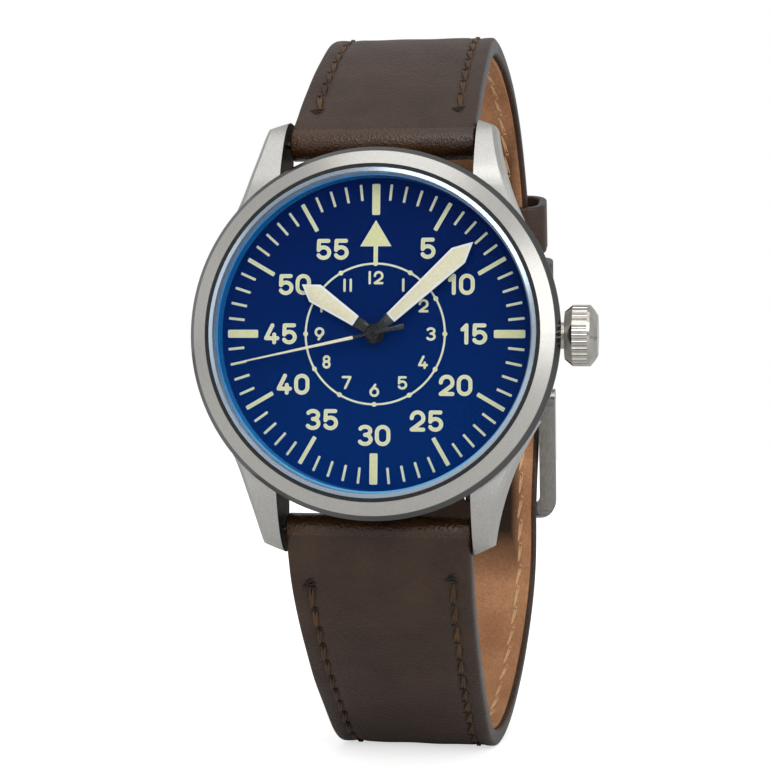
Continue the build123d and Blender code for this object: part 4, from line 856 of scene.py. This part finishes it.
rootHalf = strapSet["rootWidth"] / 2
endHalf = strapSet["endWidth"] / 2
for name, route in (("upperFold", upperRoute), ("lowerFold", lowerRoute)):
    makeFold(name, [(-rootHalf, rootHalf)], foldSet["inner"], foldSet["outer"], (0, *route["points"][0]),
             leathers["waxedLeather"])
buckleBar = upperRoute["points"][-1]
buckleLean = leanOf(buckleBar[0])
slotHalf = foldSet["slotHalf"]
sleeves = [(buckleLean - endHalf, buckleLean - slotHalf), (buckleLean + slotHalf, buckleLean + endHalf)]
makeFold("buckleFold", sleeves, foldSet["buckleInner"], foldSet["buckleOuter"], (0, *buckleBar),
         leathers["brownLeather"])


# Keepers

keeperSet = {"wall": 1.1, "corner": 1.9, "below": 1.73, "above": 4.55, "rim": 0.3,
             "free": {"station": 24.6, "length": 7.0, "half": 11.25},
             "fixed": {"station": 16.6, "length": 6.0, "half": 11.65}}


def makeKeeper(name, spec, body, node):
    place, along, out = onRoute(upperCurve, upperEnd - spec["station"], 1)
    height = keeperSet["above"] + keeperSet["below"]
    wall = keeperSet["wall"]
    bm = bmesh.new()
    bmesh.ops.create_grid(bm, x_segments=1, y_segments=1, size=0.5)
    bmesh.ops.scale(bm, vec=(2 * (spec["half"] + wall), height + 2 * wall, 1), verts=bm.verts)
    roundOff(bm, bm.verts[:], keeperSet["corner"] + wall, 8, "VERTICES")
    outline = bm.edges[:]
    bmesh.ops.delete(bm, geom=bm.faces[:], context="FACES_ONLY")
    grown = bmesh.ops.extrude_edge_only(bm, edges=outline)["geom"]
    bmesh.ops.translate(bm, vec=(0, 0, spec["length"]), verts=vertsOf(grown))
    faceOutwards(bm)
    bmesh.ops.solidify(bm, geom=bm.faces[:], thickness=wall)
    faceOutwards(bm)
    for face in bm.faces:
        face.material_index = 1 if abs(face.normal.z) > 0.5 else 0
    rims = [edge for edge in bm.edges if edge.calc_face_angle(0) > 1.2]
    roundOff(bm, rims, keeperSet["rim"], 3)
    shift = (keeperSet["above"] - keeperSet["below"]) / 2
    origin = Vector((leanOf(place[0]), place[0] + out[0] * shift, place[1] + out[1] * shift))
    axes = Matrix(((1, 0, 0), (0, *out), (0, *along))).transposed().to_4x4()
    bm.transform(Matrix.Translation(origin) @ axes @ Matrix.Translation((0, 0, -spec["length"] / 2)))
    faceOutwards(bm)
    return finishPiece(name, bm, strapFinishes[:2], body, [node])


makeKeeper("freeKeeper", keeperSet["free"], "free_keeper", "free_keeper")
makeKeeper("fixedKeeper", keeperSet["fixed"], "case", "fixed_keeper")
print("folds and keepers made")


# Dial print: a white outline with the luminous fill a little above it

printSet = {"lift": 0.012, "merge": 0.0002,
            "borders": {"minute_track": 0.05, "minute_numerals": 0.06, "hour_ring": 0.05,
                        "hour_numerals": 0.04}}


def facesFront(face):
    return face.normal.y < -0.9


def makePrint(node, border):
    bm = bmesh.new()
    bm.from_mesh(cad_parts[node].data)
    bmesh.ops.remove_doubles(bm, verts=bm.verts, dist=printSet["merge"] * millimetre)
    bm.normal_update()
    corners = [vert for vert in bm.verts if any(map(facesFront, vert.link_faces))]
    inside = [edge for edge in bm.edges if edge.link_faces and all(map(facesFront, edge.link_faces))]
    bmesh.ops.dissolve_limit(bm, angle_limit=0.01, verts=corners, edges=inside)
    top = [face for face in bm.faces if facesFront(face)]
    for face in bm.faces:
        face.material_index = 0
    rim = bmesh.ops.inset_region(bm, faces=top, thickness=border * millimetre, use_even_offset=True,
                                 depth=printSet["lift"] * millimetre, use_boundary=True)["faces"]
    for face in top:
        face.material_index = 1
    for face in rim:
        face.material_index = 0
    bmesh.ops.triangulate(bm, faces=[face for face in bm.faces if len(face.verts) > 4])
    bm.transform(Matrix.Scale(1 / millimetre, 4))
    name = node.replace("_", "") + "Print"
    finishes = [plains["whiteInk"], plains["creamLume"]]
    return finishPiece(name, bm, finishes, "case", [node], smooth=False)


for node, border in printSet["borders"].items():
    makePrint(node, border)
print("dial printed")


# Hands, drawn flat pointing at 12 and then turned to the time

handSet = {
    "hour": {"length": 10.0, "width": 2.3, "waist": 1.3, "shoulder": 8.2, "lumeStart": 2.55, "root": 1.1,
             "level": 0.45, "thick": 0.25, "turn": -303.8, "hub": 1.18},
    "minute": {"length": 15.1, "width": 2.25, "waist": 1.3, "shoulder": 12.9, "lumeStart": 2.6, "root": 1.05,
               "level": 0.95, "thick": 0.25, "turn": -47.5, "hub": 1.06},
    "second": {"length": 15.0, "tail": 3.6, "width": 0.36, "tipWidth": 0.16, "tailWidth": 0.6,
               "lumeStart": 2.3, "level": 1.45, "thick": 0.18, "turn": -257.7, "hub": 0.8, "rounding": 0.02},
}
lanceSet = {"rounding": 0.035, "rootRounding": 0.03, "rootShare": 0.45, "border": 0.14, "lumeEdge": 0.05,
            "lumeRise": 0.03}
# rings of a hub from its rim inwards: share of its radius, cut off that, and height
lanceHub = [(1, 0, 0), (1, 0, 0.22), (1, 0.07, 0.3), (0.88, 0, 0.3), (0.82, 0, 0.2), (0.7, 0, 0.2),
            (0.66, 0, 0.3), (0.5, 0, 0.3)]
secondHub = [(1, 0, 0), (1, 0, 0.1), (1, 0.09, 0.2), (0.74, 0, 0.2), (0.66, 0, 0.08), (0.54, 0, 0.08),
             (0.48, 0, 0.22), (0.34, 0, 0.22), (0.28, 0, 0.1), (0.18, 0, 0.1), (0.14, 0, 0.18),
             (0.025, 0, 0.18)]


def flatPlate(outline, foot, thick, rounding):
    bm = bmesh.new()
    bm.faces.new([bm.verts.new((x, y, foot)) for x, y in outline])
    grown = bmesh.ops.extrude_face_region(bm, geom=bm.faces[:])["geom"]
    bmesh.ops.translate(bm, vec=(0, 0, thick), verts=vertsOf(grown))
    faceOutwards(bm)
    rim = [edge for edge in bm.edges if min(vert.co.z for vert in edge.verts) > foot + thick / 2]
    roundOff(bm, rim, rounding, 2)
    return bm


def turnedHub(bm, spec, rings):
    # a stack of small steps turned about the hands' axis
    ring = bmesh.new()
    hub, foot = spec["hub"], spec["level"]
    verts = [ring.verts.new((share * hub - cut, 0, foot + height)) for share, cut, height in rings]
    for low, high in zip(verts, verts[1:]):
        ring.edges.new((low, high))
    bmesh.ops.spin(ring, geom=ring.verts[:] + ring.edges[:], cent=(0, 0, 0), axis=(0, 0, 1),
                   angle=2 * math.pi, steps=64, use_merge=True)
    bmesh.ops.remove_doubles(ring, verts=ring.verts, dist=mergeGap)
    bmesh.ops.holes_fill(ring, edges=ring.edges[:], sides=0)
    faceOutwards(ring)
    keepHeld(bm, ring)


def placeHand(bm, spec):
    bm.transform(upright @ Matrix.Rotation(math.radians(spec["turn"]), 4, "Z"))
    faceOutwards(bm)
    return bm


def makeLance(name, spec, body, node):
    start, waist, half = spec["lumeStart"], spec["waist"] / 2, spec["width"] / 2
    outline = [(waist, start), (half, spec["shoulder"]), (0, spec["length"]), (-half, spec["shoulder"]),
               (-waist, start)]
    bm = flatPlate(outline, spec["level"], spec["thick"], lanceSet["rounding"])
    bm.faces.ensure_lookup_table()
    top = max(bm.faces, key=lambda face: face.calc_center_median().z + 0.001 * face.calc_area())
    for inset, rise in ((lanceSet["border"], 0), (lanceSet["lumeEdge"], lanceSet["lumeRise"])):
        bmesh.ops.inset_region(bm, faces=[top], thickness=inset, depth=rise, use_even_offset=True,
                               use_boundary=True)
    for face in bm.faces:
        face.material_index = 0
    top.material_index = 1
    finishes = [plains["handWhite"], plains["handLume"]]
    finishPiece(name + "Blade", placeHand(bm, spec), finishes, body, [node])
    side, middle = spec["root"] / 2, lanceSet["rootShare"] * start
    root = [(side, 0), (side, middle), (waist, start), (-waist, start), (-side, middle), (-side, 0)]
    bm = flatPlate(root, spec["level"], spec["thick"], lanceSet["rootRounding"])
    turnedHub(bm, spec, lanceHub)
    finishPiece(name + "Root", placeHand(bm, spec), [plains["handBlack"]], body)


def makeSecondHand(spec):
    start, half, point = spec["lumeStart"], spec["width"] / 2, spec["tipWidth"] / 2
    tip = [(half, start), (point, spec["length"]), (-point, spec["length"]), (-half, start)]
    bm = flatPlate(tip, spec["level"], spec["thick"], spec["rounding"])
    finishPiece("secondHandTip", placeHand(bm, spec), [plains["handLume"]], "seconds", ["second_hand"])
    tail = spec["tailWidth"] / 2
    stem = [(half * 0.9, start), (-half * 0.9, start), (-half * 0.8, 0), (-tail, -spec["tail"]),
            (tail, -spec["tail"]), (half * 0.8, 0)]
    bm = flatPlate(stem, spec["level"], spec["thick"], spec["rounding"])
    turnedHub(bm, spec, secondHub)
    finishPiece("secondHandStem", placeHand(bm, spec), [plains["handBlack"]], "seconds")


makeLance("hourHand", handSet["hour"], "hours", "hour_hand")
makeLance("minuteHand", handSet["minute"], "minutes", "minute_hand")
makeSecondHand(handSet["second"])
print("hands made")


# Finishes of the nodes that keep their own shape

nodeFinish = [
    (satinSteel, ["case_middle"]),
    (steels["backSteel"], ["case_back"]),
    (bezelFinish, ["bezel"]),
    (steels["polishedSteel"], ["crown", "crown_tube", "spring_bar_12", "spring_bar_6", "bridge_screws",
                               "holder_screws", "buckle_bar", "rotor_post"]),
    (steels["buckleSteel"], ["buckle_frame", "buckle_tang"]),
    (crystalClear, ["crystal"]),
    (plains["blackRubber"], ["crystal_gasket", "case_back_gasket", "crown_gasket"]),
    (dialLacquer, ["dial"]),
    (flangeBlue, ["inner_flange"]),
    (steels["brassWheel"], ["barrel", "second_wheel", "third_wheel", "seconds_wheel", "minute_wheel",
                            "hour_wheel", "balance", "cannon_pinion"]),
    (steels["nickelPlate"], ["main_plate", "train_bridge", "balance_cock", "movement_holder", "escape_wheel",
                             "pallet_fork", "ratchet_wheel", "crown_wheel", "winding_pinion", "setting_lever",
                             "rotor"]),
    (plains["rubyJewel"], ["jewels"]),
]
for finish, nodes in nodeFinish:
    for node in nodes:
        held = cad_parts[node]
        if not held.material_slots:
            held.data.materials.append(finish)
        for place in held.material_slots:
            place.material = finish
print("nodes finished")


# Floor, lamps and background

stageSet = {"floor": -51.85, "size": 6000, "tone": 0.93, "roughness": 0.9, "sheen": 0.1, "near": (80, 400),
            "nearLift": 0.62, "ambient": 0.36, "gloss": 0.6}
lampSet = {
    "key": {"place": (540, -330, 130), "power": 1.25, "size": 500},
    "front": {"place": (160, -660, 420), "power": 2.3, "size": 500},
    "fill": {"place": (-560, -420, 60), "power": 0.6, "size": 500},
    "top": {"place": (0, -190, 620), "power": 0.65, "size": 500},
}


def seenRays(tree):
    # one for the rays that see the plain white background, and one for reflections
    path = tree.nodes.new("ShaderNodeLightPath")
    seen = mathFrom(tree, "MAXIMUM", path.outputs["Is Camera Ray"], path.outputs["Is Transmission Ray"])
    return seen, path.outputs["Is Glossy Ray"]


def makeFloor(spec):
    bm = bmesh.new()
    bmesh.ops.create_grid(bm, x_segments=1, y_segments=1, size=spec["size"])
    bmesh.ops.translate(bm, vec=(0, 0, spec["floor"]), verts=bm.verts)
    bm.transform(toMetres)
    mesh = bpy.data.meshes.new("floor")
    bm.to_mesh(mesh)
    bm.free()
    floor = bpy.data.objects.new("floor", mesh)
    bpy.context.collection.objects.link(floor)
    finish, tree, shader = newFinish("paleFloor")
    shader.inputs["Base Color"].default_value = (spec["tone"], spec["tone"], spec["tone"], 1)
    shader.inputs["Roughness"].default_value = spec["roughness"]
    shader.inputs["Specular IOR Level"].default_value = spec["sheen"]
    shader.inputs["Emission Color"].default_value = (1, 1, 1, 1)
    # the floor brightens to plain white away from the watch
    place, parts = placeParts(tree)
    lift = lengthSpan(tree, lengthFrom(tree, place), spec["near"], spec["nearLift"], 1)
    seen, mirrored = seenRays(tree)
    tree.links.new(mathFrom(tree, "MULTIPLY", lift, seen), shader.inputs["Emission Strength"])
    mesh.materials.append(finish)


def makeWorld(spec):
    world = bpy.data.worlds.new("studio")
    bpy.context.scene.world = world
    world.use_nodes = True
    tree = world.node_tree
    shader = tree.nodes["Background"]
    shader.inputs["Color"].default_value = (1, 1, 1, 1)
    seen, mirrored = seenRays(tree)
    soft = spanFrom(tree, mirrored, 0, 1, spec["ambient"], spec["gloss"])
    tree.links.new(mathFrom(tree, "MAXIMUM", soft, seen), shader.inputs["Strength"])


def makeLamps(spec):
    for name, lamp in spec.items():
        light = bpy.data.lights.new(name, "AREA")
        light.energy = lamp["power"]
        light.size = lamp["size"] * millimetre
        holder = bpy.data.objects.new(name, light)
        bpy.context.collection.objects.link(holder)
        holder.location = Vector(lamp["place"]) * millimetre
        holder.rotation_euler = (-holder.location).to_track_quat("-Z", "Y").to_euler()


makeFloor(stageSet)
makeWorld(stageSet)
makeLamps(lampSet)
bpy.context.scene.view_settings.view_transform = "Standard"
print("studio ready")
